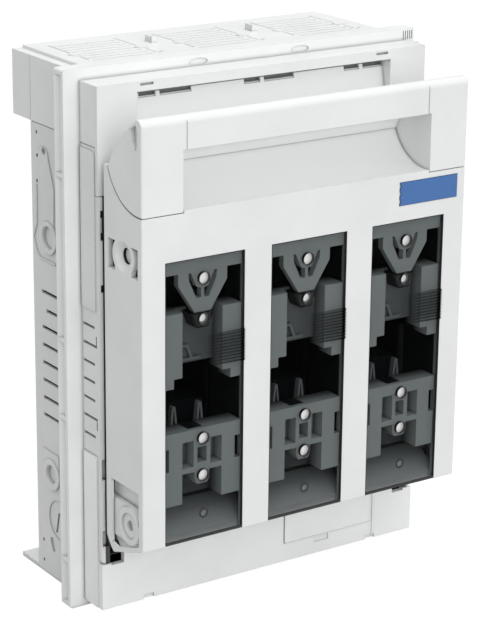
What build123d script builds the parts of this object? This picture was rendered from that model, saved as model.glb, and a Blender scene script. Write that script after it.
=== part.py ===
from build123d import *
import os
from math import cos, radians, sin

os.makedirs("parts", exist_ok=True)

# A three-pole fuse switch disconnector, in millimetres.
# X runs to the right, Z up, and the front faces -Y. The origin is the centre of
# the mounting holes, on the plane of the mounting plate. Every depth below is a
# distance in front of that plane, so a point at depth d lies at y = -d.

# Poles
pole_count = 3
pole_pitch = 66.0
pole_places = [(pole - (pole_count - 1) / 2) * pole_pitch for pole in range(pole_count)]
pole_gaps = [x + pole_pitch / 2 for x in pole_places[:-1]]
sides = (-1, 1)
fuse_middle = -9.0
blade_spacing = 114.0
jaw_upper_middle = fuse_middle + blade_spacing / 2
jaw_lower_middle = fuse_middle - blade_spacing / 2

# Walls, gaps and raised details shared by the mouldings
wall = 2.5
seam = 0.4
partition = 3.0
relief = 0.6
bead_width = 0.9
cut_over = 1.0
slide_gap = 0.3
pin_gap = 0.06
edge_round = 0.8

# Depths, from the mounting plane to the front
foot_height = 19.6
base_rear_length = 48.1
collar_joint = 0.3
collar_rim_length = 9.8
shroud_rise = 18.0
lid_gap = 3.8
lid_thickness = 37.2
collar_back = foot_height + base_rear_length + collar_joint
collar_front = collar_back + collar_rim_length
shroud_front = collar_front + shroud_rise
shroud_back_face = shroud_front - wall
lid_back = shroud_front + lid_gap
lid_front = lid_back + lid_thickness

# Heights: the hoods over the fuse's jaws, then outwards to the collar's edges
upper_hood_above = 36.0
upper_hood_below = 26.0
lower_hood_above = 30.0
lower_hood_below = 24.0
upper_plate_margin = 3.2
lid_drop = 8.0
cover_margin = 3.1
cover_height = 35.8
shroud_top_margin = 6.3
shroud_bottom_margin = 4.3
upper_strip = 25.1
lid_rise = 48.9
window_height = 157.1
window_margin = 25.3
handle_height = 50.1
upper_hood = (jaw_upper_middle - upper_hood_below, jaw_upper_middle + upper_hood_above)
lower_hood = (jaw_lower_middle - lower_hood_below, jaw_lower_middle + lower_hood_above)
upper_plate_bottom = upper_hood[1] + upper_plate_margin
cover_split = upper_plate_bottom + upper_strip
cover_top = cover_split + cover_height
collar_top = cover_top + cover_margin
lid_bottom = lower_hood[0] - lid_drop
shroud_bottom = lid_bottom - lid_rise
collar_bottom = shroud_bottom - shroud_bottom_margin
shroud_top = collar_top - shroud_top_margin
window_top = lid_bottom + window_height
lid_seam = window_top + window_margin
handle_top = lid_seam + handle_height

# Half widths, each from the one inside it
pole_margin = 4.1
shroud_step = 2.9
collar_overhang = 9.6
lid_inset = 1.5
base_side = pole_count * pole_pitch / 2 + pole_margin
shroud_side = base_side + shroud_step
collar_side = shroud_side + collar_overhang
lid_side = shroud_side - lid_inset

# Mounting holes through the base
mount_spacing_x = 84.0
mount_drop = 14.3
mount_spacing_z = 2 * (cover_split - mount_drop)
mount_hole_radius = 4.5
mount_boss_side = 17.0

# Hinge of the lid: a lug of the shroud turns inside a pocket in the lid's side
hinge_rise = 9.6
hinge_setback = 15.2
hinge_hub_radius = 10.6
hinge_pin_radius = 3.0
hinge_lug_thickness = 3.2
hinge_skin = 1.6
hinge_gap = 0.2
hub_inset = 0.4
swing_gap = 0.8
hinge_depth = lid_front - hinge_setback
hinge_height = lid_bottom + hinge_rise
swing_radius = hinge_depth - shroud_front - swing_gap
lug_outside = lid_side - hinge_skin - hinge_gap
lug_inside = lug_outside - hinge_lug_thickness
pocket_inside = lug_inside - hinge_gap
pin_inside = pocket_inside - wall - 1.0
pin_outside = lug_outside - 1.2

# Viewing windows and the grooves they slide in
window_width = 49.1
lid_plate = 4.2
groove_side = 2.0
groove_front_lip = 0.5
pane_thickness = 1.6
pane_gap = 0.15
groove_front = lid_front - groove_front_lip
groove_back = groove_front - pane_thickness - 2 * pane_gap
pane_front = groove_front - pane_gap
pane_back = pane_front - pane_thickness
plate_back = lid_front - lid_plate

# Handle: its cheeks are leaves bounded by two arcs that meet at a rear corner
leaf_radius = 32.0
leaf_setback = 3.5
leaf_rise = 31.9
leaf_rear_angle = 199.8
leaf_front_angle = 276.3
leaf_centre_depth = lid_front - leaf_setback
leaf_centre_height = lid_seam + leaf_rise
scoop_inset = 25.0
scoop_half_width = lid_side - scoop_inset
scoop_floor = 1.2
bar_height = 17.5
bar_lip = 5.0


def leaf_point(radius, angle):
    """A point of the seam arc between handle and lid, in the side view."""
    depth = leaf_centre_depth + radius * cos(radians(angle))
    return (-depth, leaf_centre_height + radius * sin(radians(angle)))


def leaf_front_point(radius):
    """Where that arc meets the front face."""
    return (-lid_front, leaf_centre_height - (radius ** 2 - leaf_setback ** 2) ** 0.5)


def slab(x_low, x_high, z_low, z_high, back, front, mode=Mode.ADD):
    """A rectangle in the front view, given thickness between two depths."""
    with BuildSketch(Plane.XZ.offset(back)) as outline:
        with Locations(((x_low + x_high) / 2, (z_low + z_high) / 2)):
            Rectangle(abs(x_high - x_low), z_high - z_low)
    extrude(outline.sketch, amount=front - back, mode=mode)


def front_shape(points, back, front, mode=Mode.ADD):
    """A polygon of x and z points, given thickness between two depths."""
    with BuildSketch(Plane.XZ.offset(back)) as outline:
        with BuildLine():
            Polyline(*points, close=True)
        make_face()
    extrude(outline.sketch, amount=front - back, mode=mode)


def plan_shape(points, z_low, z_high, mode=Mode.ADD):
    """A polygon of x and depth points, run upwards."""
    with BuildSketch(Plane.XY.offset(z_low)) as outline:
        with BuildLine():
            Polyline(*[(x, -depth) for x, depth in points], close=True)
        make_face()
    extrude(outline.sketch, amount=z_high - z_low, mode=mode)


def side_shape(points, x_low, x_high, mode=Mode.ADD):
    """A polygon of depth and height points, run along X."""
    with BuildSketch(Plane.YZ.offset(x_low)) as outline:
        with BuildLine():
            Polyline(*[(-depth, height) for depth, height in points], close=True)
        make_face()
    extrude(outline.sketch, amount=x_high - x_low, mode=mode)


def side_block(near, far, low, high, x_low, x_high, mode=Mode.ADD):
    """A rectangle in the side view, run along X."""
    side_shape([(near, low), (far, low), (far, high), (near, high)], x_low, x_high, mode)


def side_disc(depth, height, radius, x_low, x_high, mode=Mode.ADD):
    """A round boss or hole with its axis along X."""
    with BuildSketch(Plane.YZ.offset(x_low)) as outline:
        with Locations((-depth, height)):
            Circle(radius)
    extrude(outline.sketch, amount=x_high - x_low, mode=mode)


def side_cone(depth, height, outer, inner, x_outer, x_inner):
    """A conical dish cut into a side face."""
    with BuildSketch(Plane.YZ.offset(x_outer)) as mouth:
        with Locations((-depth, height)):
            Circle(outer)
    with BuildSketch(Plane.YZ.offset(x_inner)) as floor:
        with Locations((-depth, height)):
            Circle(inner)
    loft([mouth.sketch, floor.sketch], mode=Mode.SUBTRACT)


def side_bead(points, x_face, rise):
    """A thin raised line along depth and height points."""
    with BuildSketch(Plane.YZ.offset(x_face)) as outline:
        with BuildLine():
            Polyline(*[(-depth, height) for depth, height in points])
        trace(line_width=bead_width)
    extrude(outline.sketch, amount=rise)


# Base housing

base_rear_wall = 3.0
base_floor = 3.0
base_top = cover_split - seam
base_front = shroud_back_face - seam
front_floor = shroud_bottom + wall + seam
chamber_back = foot_height + base_rear_wall
base_rear_front = foot_height + base_rear_length
ledge_thickness = 2.5
foot_wall = 3.0
foot_inset = 17.0
foot_side = base_side - foot_inset
foot_reach = mount_spacing_z / 2 + 12.0
bar_inset = 13.2
bar_reach = collar_top - bar_inset
terminal_inset = 11.0
bar_screw_head_radius = 5.8
bar_screw_clearance = 1.2
terminal_height = bar_reach - terminal_inset
bar_screw_height = bar_screw_head_radius + bar_screw_clearance - lower_hood[0]
bar_thickness = 5.0
pedestal_width = 24.0
pedestal_height = 24.0
pedestal_rise = 24.4
bar_depth = chamber_back + pedestal_rise
bar_front = bar_depth + bar_thickness
vent_pitch = 10.3
vent_height = 2.0
vent_top = 18.2
vent_count = 8
vent_near = foot_height + 9.3
vent_far = 60.0
short_vent = 1
short_vent_cut = 4.8
cable_slot = 4.0
cable_slot_pitch = 13.0
cable_slot_count = 3
cable_slot_half = 20.0
cable_slot_start = 6.0
dish_depth = 1.2
# Details of the left side, as depth and height; the first group hangs from the base's
# top edge and the second stands on the collar's bottom edge
lever_ring = (38.2, base_top - 61.3)
lever_ring_outer = 9.2
lever_ring_inner = 6.6
lever_top = (33.5, base_top - 16.9)
lever_top_radius = 5.3
lever_hole = (34.1, base_top - 13.9)
lever_hole_radius = 2.0
lever_outline = [(depth, base_top - drop) for depth, drop in (
    (28.2, 17.9), (30.3, 39.1), (32.4, 55.9), (44.0, 55.9), (44.9, 33.0), (38.8, 16.9))]
side_bead_route = [(depth, base_top - drop) for depth, drop in (
    (25.5, 34.0), (25.2, 55.5), (21.5, 63.8), (24.6, 71.6), (28.5, 74.6), (45.2, 74.9))]
boss_ring = (37.3, collar_bottom + 63.5)
boss_ring_outer = 9.2
boss_ring_inner = 5.6
boss_pad_near = 28.0
boss_pad_far = 45.5
boss_pad_rise = 13.2
recess_centre = (44.6, collar_bottom + 37.5)
recess_radius = 12.0
recess_slot = ((-2.2, 4.2), (-0.4, 4.2), (-3.6, -8.7), (-5.4, -8.7))
capsule_ends = ((35.5, collar_bottom + 22.5), (37.1, collar_bottom + 18.0))
capsule_radius = 2.0
side_marks = ((25.6, base_top - 32.0), (25.8, base_top - 5.0), (26.1, base_top - 17.7),
              (25.8, collar_bottom + 19.8), (25.9, collar_bottom + 7.4))
side_mark_half = 0.9

with BuildPart() as base_housing:
    slab(-base_side, base_side, collar_bottom, base_top, foot_height, base_rear_front)
    slab(-base_side, base_side, front_floor, base_top, base_rear_front, base_front)
    # Chambers of the poles, open to the front and the top
    chamber_edges = [-base_side + partition / 2] + pole_gaps + [base_side - partition / 2]
    for left, right in zip(chamber_edges[:-1], chamber_edges[1:]):
        low = left + partition / 2
        high = right - partition / 2
        slab(low, high, collar_bottom + base_floor, base_top + cut_over, chamber_back, base_rear_front,
             mode=Mode.SUBTRACT)
        slab(low, high, front_floor + base_floor, base_top + cut_over, base_rear_front,
             base_front + cut_over, mode=Mode.SUBTRACT)
    # Pedestals that carry the terminal bars
    for pole_x in pole_places:
        for end in sides:
            middle = end * bar_screw_height
            slab(pole_x - pedestal_width / 2, pole_x + pedestal_width / 2, middle - pedestal_height / 2,
                 middle + pedestal_height / 2, chamber_back, bar_depth)
    # Ledge that closes the bottom back to the mounting plane
    slab(-base_side, base_side, collar_bottom, collar_bottom + ledge_thickness, 0, foot_height)
    # Frame of the feet, with ribs behind the partitions and across each bay
    slab(-foot_side, foot_side, -foot_reach, foot_reach, 0, foot_height)
    bay_edges = [-foot_side] + pole_gaps + [foot_side]
    bay_levels = [-foot_reach, -foot_reach / 3, foot_reach / 3, foot_reach]
    for left, right in zip(bay_edges[:-1], bay_edges[1:]):
        for bottom, top in zip(bay_levels[:-1], bay_levels[1:]):
            slab(left + foot_wall / 2, right - foot_wall / 2, bottom + foot_wall / 2, top - foot_wall / 2,
                 0, foot_height, mode=Mode.SUBTRACT)
    # Bosses and mounting holes
    with BuildSketch(Plane.XZ):
        with GridLocations(mount_spacing_x, mount_spacing_z, 2, 2):
            Rectangle(mount_boss_side, mount_boss_side)
    extrude(amount=foot_height)
    with BuildSketch(Plane.XZ):
        with GridLocations(mount_spacing_x, mount_spacing_z, 2, 2):
            Circle(mount_hole_radius)
    extrude(amount=chamber_back, mode=Mode.SUBTRACT)
    for side in sides:
        # Vent slots, the second one shorter
        outside = side * (base_side + cut_over)
        through = side * (base_side - partition - cut_over)
        for vent in range(vent_count):
            height = vent_top - vent * vent_pitch
            near = vent_near + (short_vent_cut if vent == short_vent else 0)
            side_block(near, vent_far, height - vent_height / 2, height + vent_height / 2, through,
                       outside, Mode.SUBTRACT)
    # Raised and dished details of the left side
    detail_side = -1
    face = detail_side * base_side
    above = detail_side * (base_side + cut_over + 2 * relief)
    raised = detail_side * (base_side + 2 * relief)
    dished = detail_side * (base_side - dish_depth)
    through = detail_side * (base_side - partition - cut_over)
    # Tapered lever shape that runs down to a ring
    with BuildSketch(Plane.YZ.offset(face)):
        with Locations((-lever_top[0], lever_top[1])):
            Circle(lever_top_radius)
        with BuildLine():
            Polyline(*[(-depth, height) for depth, height in lever_outline], close=True)
        make_face()
    extrude(amount=detail_side * relief)
    side_disc(*lever_ring, lever_ring_outer, face, raised)
    side_disc(*lever_ring, lever_ring_inner, dished, above, Mode.SUBTRACT)
    side_disc(*lever_hole, lever_hole_radius, dished, above, Mode.SUBTRACT)
    side_bead(side_bead_route, face, detail_side * relief)
    # Pad with a ring boss, and below it a round recess with a slot and a small key slot
    side_block(boss_pad_near, boss_pad_far, boss_ring[1], boss_ring[1] + boss_pad_rise, face,
               detail_side * (base_side + relief))
    side_disc(*boss_ring, boss_ring_outer, face, raised)
    side_disc(*boss_ring, boss_ring_inner, dished, above, Mode.SUBTRACT)
    side_disc(*recess_centre, recess_radius, detail_side * (base_side - relief), above, Mode.SUBTRACT)
    side_shape([(recess_centre[0] + depth, recess_centre[1] + height) for depth, height in recess_slot],
               through, above, Mode.SUBTRACT)
    with BuildSketch(Plane.YZ.offset(dished)):
        for depth, height in capsule_ends:
            with Locations((-depth, height)):
                Circle(capsule_radius)
        make_hull()
    extrude(amount=detail_side * (dish_depth + cut_over), mode=Mode.SUBTRACT)
    # Small square marks along the rear edge
    for depth, height in side_marks:
        side_block(depth - side_mark_half, depth + side_mark_half, height - side_mark_half,
                   height + side_mark_half, dished, above, Mode.SUBTRACT)
    # Cable openings in the bottom wall
    for pole_x in pole_places:
        for slot in range(cable_slot_count):
            back = chamber_back + cable_slot_start + slot * cable_slot_pitch
            slab(pole_x - cable_slot_half, pole_x + cable_slot_half, collar_bottom - cut_over,
                 collar_bottom + base_floor + cut_over, back, back + cable_slot, mode=Mode.SUBTRACT)
base_housing.part.label = "base_housing"
export_step(base_housing.part, "parts/base_housing.step")

# Collar frame: a flange round the mouldings, with a rim that runs back

rim_wall = 2.2
rim_side_wall = 5.3
collar_plate = 2.5
channel_depth = 3.0
channel_end = 3.0
channel_rib = 2.4
channel_ribs = (-123.0, -40.0, 4.0, 94.9)
collar_window_side = shroud_side - wall
collar_window_top = shroud_top - wall
collar_window_bottom = shroud_bottom + wall
oval_half_width = 6.0
oval_half_height = 2.0
corner_notch = 4.0
grip_grooves = 5
grip_groove_pitch = 1.5
grip_groove_margin = 1.2
grip_groove_half = 0.3

with BuildPart() as collar_frame:
    slab(-collar_side, collar_side, collar_bottom, collar_top, collar_back, collar_front)
    fillet(collar_frame.edges().filter_by(Axis.Y), radius=1.5)
    slab(-collar_side + rim_side_wall, collar_side - rim_side_wall, collar_bottom + rim_wall,
         collar_top - rim_wall, collar_back, collar_front - collar_plate, mode=Mode.SUBTRACT)
    slab(-collar_window_side, collar_window_side, collar_window_bottom, collar_window_top, collar_back,
         collar_front, mode=Mode.SUBTRACT)
    # Channel along each side, deepest behind the flange and crossed by thin ribs
    stations = [collar_bottom + channel_end - channel_rib / 2]
    stations += [height for height in channel_ribs]
    stations += [collar_top - channel_end + channel_rib / 2]
    for side in sides:
        for low, high in zip(stations[:-1], stations[1:]):
            plan_shape([(side * (collar_side + cut_over), collar_back + relief - 2.1),
                        (side * (collar_side - channel_depth), collar_front - collar_plate),
                        (side * (collar_side + cut_over), collar_front - collar_plate)],
                       low + channel_rib / 2, high - channel_rib / 2, Mode.SUBTRACT)
    # Shallow ovals in the strip above the shroud
    with BuildSketch(Plane.XZ.offset(collar_front - relief)):
        with Locations(*[(x, shroud_top + oval_half_height + 0.2) for x in pole_gaps]):
            Ellipse(oval_half_width, oval_half_height)
    extrude(amount=relief + cut_over, mode=Mode.SUBTRACT)
    # Notched corner at the top right, with grooves beside it
    slab(collar_side - corner_notch, collar_side + cut_over, shroud_top - 2, collar_top + cut_over,
         collar_back - cut_over, collar_front + cut_over, mode=Mode.SUBTRACT)
    for groove in range(grip_grooves):
        middle = collar_side - corner_notch - grip_groove_margin - groove * grip_groove_pitch
        slab(middle - grip_groove_half, middle + grip_groove_half, shroud_top + grip_groove_half,
             collar_top - grip_groove_margin, collar_front - relief, collar_front + cut_over,
             mode=Mode.SUBTRACT)
collar_frame.part.label = "collar_frame"
export_step(collar_frame.part, "parts/collar_frame.step")

# Middle shroud: front plate with the chamber openings, vented sides and hinge lugs

side_split = lid_bottom + 40.0
lower_plate_top = lid_bottom - 6.0
strip_inset = 5.5
strip_round = 3.0
strip_bottom = lid_bottom - 22.0
opening_half_width = 28.0
opening_bottom = lower_hood[0] + 8.0
opening_top = upper_hood[1] - 6.0
shroud_vent_top = 14.4
shroud_vent_height = 1.5
shroud_vent_count = 7
hooked_vents = {1: 1, 5: -1}
plain_vent_setback = 2.2
vent_hook_length = 6.0
vent_hook_width = 1.0
side_slots = ((17.4, 29.4), (-21.6, -12.1))
front_groove = (4.7, 19.6)
front_groove_depth = 0.8
front_holes = (18.2, 6.1, -22.2)
front_hole_half = 2.0
panel_near = collar_front + 0.8
panel_far = shroud_back_face - seam
panel_low = shroud_vent_top + 9.4
panel_high = cover_split - 1.8
panel_round = 3.5
hub_dish_radius = 7.4
hub_outside = lid_side - hub_inset

with BuildPart() as middle_shroud:
    slab(-shroud_side, shroud_side, side_split + seam, upper_plate_bottom - seam, collar_front, shroud_front)
    slab(-shroud_side, shroud_side, lower_plate_top + seam, side_split + seam, shroud_back_face,
         shroud_front)
    slab(-shroud_side, shroud_side, upper_plate_bottom - seam, cover_split, collar_front,
         shroud_back_face - seam)
    slab(-collar_window_side, collar_window_side, lower_plate_top, cover_split + cut_over, collar_front,
         shroud_back_face, mode=Mode.SUBTRACT)
    for pole_x in pole_places:
        slab(pole_x - opening_half_width, pole_x + opening_half_width, opening_bottom, opening_top,
             shroud_back_face, shroud_front, mode=Mode.SUBTRACT)
    for side in sides:
        face = side * shroud_side
        above = side * (shroud_side + cut_over)
        through = side * (shroud_side - wall - cut_over)
        # Strip that runs down beside the lower cover, with a rounded corner
        with BuildSketch(Plane.XZ.offset(shroud_back_face)) as strip:
            with BuildLine():
                inner = side * (shroud_side - strip_inset)
                arc_end = (side * (shroud_side - strip_round), strip_bottom)
                arc_middle = (side * (shroud_side - 0.3 * strip_round), strip_bottom + 0.3 * strip_round)
                Polyline((face, strip_bottom + strip_round), (face, lower_plate_top + seam + 1),
                         (inner, lower_plate_top + seam + 1), (inner, strip_bottom), arc_end)
                ThreePointArc(arc_end, arc_middle, (face, strip_bottom + strip_round))
            make_face()
        extrude(strip.sketch, amount=wall)
        # Vent slots, two of them with a latch slit at the end
        for vent in range(shroud_vent_count):
            height = shroud_vent_top - vent * vent_pitch
            far = shroud_back_face - (0 if vent in hooked_vents else plain_vent_setback)
            side_block(collar_front + 1.2, far, height - shroud_vent_height / 2,
                       height + shroud_vent_height / 2, through, above, Mode.SUBTRACT)
            if vent in hooked_vents:
                end = height + hooked_vents[vent] * vent_hook_length
                side_block(far - vent_hook_width, far, min(height, end), max(height, end),
                           side * (shroud_side - 1.0), above, Mode.SUBTRACT)
        # Raised panel above the vents, with one rounded corner
        with BuildSketch(Plane.YZ.offset(face)) as panel:
            with BuildLine():
                Line((-panel_near, panel_low), (-panel_far, panel_low))
                Line((-panel_far, panel_low), (-panel_far, panel_high - panel_round))
                ThreePointArc((-panel_far, panel_high - panel_round),
                              (-panel_far + 0.3 * panel_round, panel_high - 0.3 * panel_round),
                              (-panel_far + panel_round, panel_high))
                Polyline((-panel_far + panel_round, panel_high), (-panel_near, panel_high),
                         (-panel_near, panel_low))
            make_face()
        extrude(panel.sketch, amount=side * relief)
        # Hinge lug: a plate hidden behind the lid's skin and a dished hub that shows in it
        side_block(shroud_back_face, hinge_depth, hinge_height - hinge_hub_radius,
                   hinge_height + hinge_hub_radius, side * lug_inside, side * lug_outside)
        side_disc(hinge_depth, hinge_height, hinge_hub_radius, side * lug_inside, side * hub_outside)
        side_disc(hinge_depth, hinge_height, hub_dish_radius, side * (hub_outside - 1.0),
                  side * (hub_outside + cut_over), Mode.SUBTRACT)
        side_disc(hinge_depth, hinge_height, hinge_pin_radius, side * (lug_inside - cut_over),
                  side * (hub_outside + cut_over), Mode.SUBTRACT)
        # Dark slots beside the hinge and a groove with two small holes higher up
        for low, high in side_slots:
            slab(side * (lug_inside + 1.5), side * (shroud_side - 1.0), hinge_height + low,
                 hinge_height + high, shroud_back_face - cut_over, shroud_front + cut_over,
                 mode=Mode.SUBTRACT)
        groove = (side * (lid_side - 2.5), side * (lid_side + 0.1))
        slab(*groove, window_top + front_groove[0], window_top + front_groove[1],
             shroud_front - front_groove_depth, shroud_front + cut_over, mode=Mode.SUBTRACT)
        for rise in front_holes:
            height = window_top + rise
            slab(*groove, height - front_hole_half, height + front_hole_half,
                 shroud_front - front_hole_half, shroud_front + cut_over, mode=Mode.SUBTRACT)
middle_shroud.part.label = "middle_shroud"
export_step(middle_shroud.part, "parts/middle_shroud.step")

# Upper front cover, with the finger recess behind the handle

recess_inset = 24.0
recess_half_width = shroud_side - recess_inset
recess_top = shroud_top - 5.4
recess_bottom = cover_split + 3.0
recess_depth_top = 8.4
recess_depth_bottom = 3.6
tray_wall = 2.0
recess_slot_height = 5.2
recess_slot_near = -10.5
recess_slot_far = 22.0
recess_tab = (-0.1, 2.4)
latch_slot_low = shroud_top - 2.3
latch_slot_high = shroud_top - 1.0
latch_slot_inset = 2.0
latch_slot_length = 8.0
latch_slot_depth = 1.2

with BuildPart() as upper_front_cover:
    slab(-shroud_side, shroud_side, cover_split + seam, shroud_top, collar_front, shroud_front)
    slab(-shroud_side, shroud_side, upper_plate_bottom, cover_split + seam, shroud_back_face, shroud_front)
    slab(-collar_window_side, collar_window_side, cover_split, collar_window_top, collar_front,
         shroud_back_face, mode=Mode.SUBTRACT)
    # Tray of the recess, with a back wall that leans away
    tray_back = shroud_front - recess_depth_top - tray_wall
    slab(-recess_half_width - tray_wall, recess_half_width + tray_wall, recess_bottom - tray_wall,
         collar_window_top, tray_back, shroud_back_face)
    side_shape([(shroud_front + cut_over, recess_bottom), (shroud_front - recess_depth_bottom, recess_bottom),
                (shroud_front - recess_depth_top, recess_top), (shroud_front + cut_over, recess_top)],
               -recess_half_width, recess_half_width, mode=Mode.SUBTRACT)
    # Two slots behind each pole along the top of the recess, with a tab between them
    for pole_x in pole_places:
        for near, far in ((recess_slot_near, recess_tab[0]), (recess_tab[1], recess_slot_far)):
            slab(pole_x + near, min(pole_x + far, recess_half_width), recess_top - recess_slot_height,
                 recess_top, tray_back - cut_over, shroud_front, mode=Mode.SUBTRACT)
    # Latch slots in the strip above
    for side in sides:
        latch_far = recess_half_width - latch_slot_inset
        slab(side * latch_far, side * (latch_far - latch_slot_length), latch_slot_low, latch_slot_high,
             shroud_front - latch_slot_depth, shroud_front + cut_over, mode=Mode.SUBTRACT)
upper_front_cover.part.label = "upper_front_cover"
export_step(upper_front_cover.part, "parts/upper_front_cover.step")

# Lower front cover

panel_proud = 0.8
lower_front = shroud_front + panel_proud
corner_pocket_width = 8.0
plate_window_chamfer = 0.8
plate_window_left = 14.4
plate_window_right = shroud_side - 29.9
plate_window_bottom = shroud_bottom + 11.0
plate_window_top = lower_plate_top - 2.0
edge_notch_inset = 26.5
edge_notch_width = 6.5
edge_notch_height = 2.6
edge_notch_depth = 1.2
plate_catch_inset = 21.6
plate_catch_width = 10.0
plate_catch_drop = 0.7
plate_catch_height = 3.3
plate_line_gap = 1.3
plate_line_width = 1.2
plate_line_margin = 1.9
plate_line_rise = 0.5

with BuildPart() as lower_front_cover:
    slab(-shroud_side, shroud_side, shroud_bottom, lower_plate_top, collar_front, lower_front)
    slab(-shroud_side, shroud_side, lower_plate_top, side_split, collar_front, shroud_back_face - seam)
    slab(-collar_window_side, collar_window_side, shroud_bottom + wall, side_split + cut_over, collar_front,
         shroud_back_face, mode=Mode.SUBTRACT)
    for side in sides:
        inner = shroud_side - strip_inset - seam
        # Room for the strip of the shroud, and an open pocket beside it
        slab(side * inner, side * (shroud_side + cut_over), strip_bottom - seam, lower_plate_top + cut_over,
             shroud_back_face - seam, lower_front + cut_over, mode=Mode.SUBTRACT)
        slab(side * (inner - corner_pocket_width), side * inner, strip_bottom - 1.5,
             lower_plate_top + cut_over, shroud_back_face - seam, lower_front + cut_over, mode=Mode.SUBTRACT)
        # Raised side panel with a cut corner
        side_shape([(panel_near, side_split - seam), (panel_far - 2.5, side_split - seam),
                    (panel_far - 0.5, side_split - 2.4), (panel_far - 0.5, shroud_bottom),
                    (panel_near, shroud_bottom)], side * shroud_side, side * (shroud_side + relief))
        # Notches in the bottom edge
        notch_far = shroud_side - edge_notch_inset
        slab(side * (notch_far - edge_notch_width), side * notch_far, shroud_bottom - cut_over,
             shroud_bottom + edge_notch_height, lower_front - edge_notch_depth, lower_front + cut_over,
             mode=Mode.SUBTRACT)
    # Seat and catch of the rating-plate window, and the line beside it
    slab(plate_window_left, plate_window_right, plate_window_bottom, plate_window_top, lower_front - relief,
         lower_front + cut_over, mode=Mode.SUBTRACT)
    catch_left = plate_window_left + plate_catch_inset
    catch_top = plate_window_bottom - plate_catch_drop
    slab(catch_left, catch_left + plate_catch_width, catch_top - plate_catch_height, catch_top,
         lower_front - relief, lower_front + cut_over, mode=Mode.SUBTRACT)
    line_left = plate_window_right + plate_line_gap
    slab(line_left, line_left + plate_line_width, shroud_bottom + plate_line_margin, plate_window_top,
         lower_front, lower_front + plate_line_rise)
lower_front_cover.part.label = "lower_front_cover"
export_step(lower_front_cover.part, "parts/lower_front_cover.step")

with BuildPart() as rating_plate_window:
    slab(plate_window_left + seam, plate_window_right - seam, plate_window_bottom + seam,
         plate_window_top - seam, lower_front - relief, lower_front + relief)
    chamfer(rating_plate_window.edges().filter_by(Axis.Y), length=plate_window_chamfer)
rating_plate_window.part.label = "rating_plate_window"
export_step(rating_plate_window.part, "parts/rating_plate_window.step")

# Top terminal cover, with a slatted vent over each pole

deck_rise = 1.6
deck_inset = 6.0
deck_side = base_side - deck_inset
deck_top = cover_top + deck_rise
deck_front = collar_back - 1.0
cover_front = collar_front - collar_plate
vent_half_width = 20.7
vent_slot = 1.6
vent_slot_count = 9
vent_slot_pitch = 5.85
vent_first = 15.0
vent_slot_left_margin = 1.2
vent_slot_right_margin = 3.0
border_width = 0.8
border_depth = 1.2
border_bump = 3.4
bump_sides = 12
border_runs = ((10.6, 35.5), (44.3, 55.1))
comb_half_width = 1.6
comb_back = 26.0
comb_length = 7.5
comb_height = 3.4
comb_teeth = 4

with BuildPart() as top_terminal_cover:
    slab(-base_side, base_side, cover_split, cover_top, 0, cover_front)
    slab(-deck_side, deck_side, cover_top, deck_top, 1.0, deck_front)
    # Space over the terminals, open to the base and to the front
    cover_edges = [-base_side + wall / 2] + pole_gaps + [base_side - wall / 2]
    for left, right in zip(cover_edges[:-1], cover_edges[1:]):
        slab(left + wall / 2, right - wall / 2, cover_split + wall, cover_top - wall + deck_rise / 2, wall,
             cover_front, mode=Mode.SUBTRACT)
        slab(left + wall / 2, right - wall / 2, cover_split - cut_over, cover_split + wall + cut_over,
             foot_height, cover_front, mode=Mode.SUBTRACT)
    for pole_x in pole_places:
        # Slots between the slats
        for slot in range(vent_slot_count):
            back = vent_first + slot * vent_slot_pitch
            slab(pole_x - vent_half_width + vent_slot_left_margin,
                 pole_x + vent_half_width - vent_slot_right_margin, cover_top - wall - cut_over,
                 deck_top + cut_over, back, back + vent_slot, mode=Mode.SUBTRACT)
        for side in sides:
            # Grooves that border the slats, with a round bump between them
            edge = pole_x + side * vent_half_width
            for back, front in border_runs:
                slab(edge - border_width / 2, edge + border_width / 2, deck_top - border_depth,
                     deck_top + cut_over, back, front, mode=Mode.SUBTRACT)
            with BuildSketch(Plane.XY.offset(deck_top)):
                with Locations((edge, -(border_runs[0][1] + border_runs[1][0]) / 2)):
                    RegularPolygon(border_bump, bump_sides)
            extrude(amount=relief)
        # Slanted latch slit at the front corner
        corner = pole_x + vent_half_width
        plan_shape([(corner, border_runs[1][1] + 1.5), (corner + 5.0, border_runs[1][1] - 1.5),
                    (corner + 5.4, border_runs[1][1] - 0.7), (corner + 0.4, border_runs[1][1] + 2.3)],
                   deck_top - border_depth, deck_top + cut_over, Mode.SUBTRACT)
    # Toothed blocks between the poles
    for gap_x in pole_gaps:
        slab(gap_x - comb_half_width, gap_x + comb_half_width, deck_top, deck_top + comb_height, comb_back,
             comb_back + comb_length)
        for tooth in range(comb_teeth):
            back = comb_back + 0.8 + tooth * (comb_length - 0.8) / comb_teeth
            for side in sides:
                slab(gap_x + side * (comb_half_width - 0.6), gap_x + side * (comb_half_width + cut_over),
                     deck_top, deck_top + comb_height + cut_over, back, back + 0.7, mode=Mode.SUBTRACT)
    # Raised line where the overhanging rear box begins
    for side in sides:
        side_block(foot_height - bead_width / 2, foot_height + bead_width / 2, cover_split, cover_top,
                   side * base_side, side * (base_side + relief / 2))
top_terminal_cover.part.label = "top_terminal_cover"
export_step(top_terminal_cover.part, "parts/top_terminal_cover.step")

# Contacts: a jaw for the fuse blade and a terminal bar in one piece

hood_wall = 2.0
hood_half_width = opening_half_width - 1.0
hood_back = bar_front
hood_front = shroud_back_face - seam
jaw_clearance = 2.9
jaw_height = 26.0
jaw_gap = 5.8
jaw_leaf = 2.5
jaw_flare = 3.0
jaw_front = hood_front - hood_wall - jaw_clearance
bar_width = 30.0
terminal_hole_radius = 5.5
bar_screw_hole_radius = 3.3
hole_sides = 12


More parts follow.
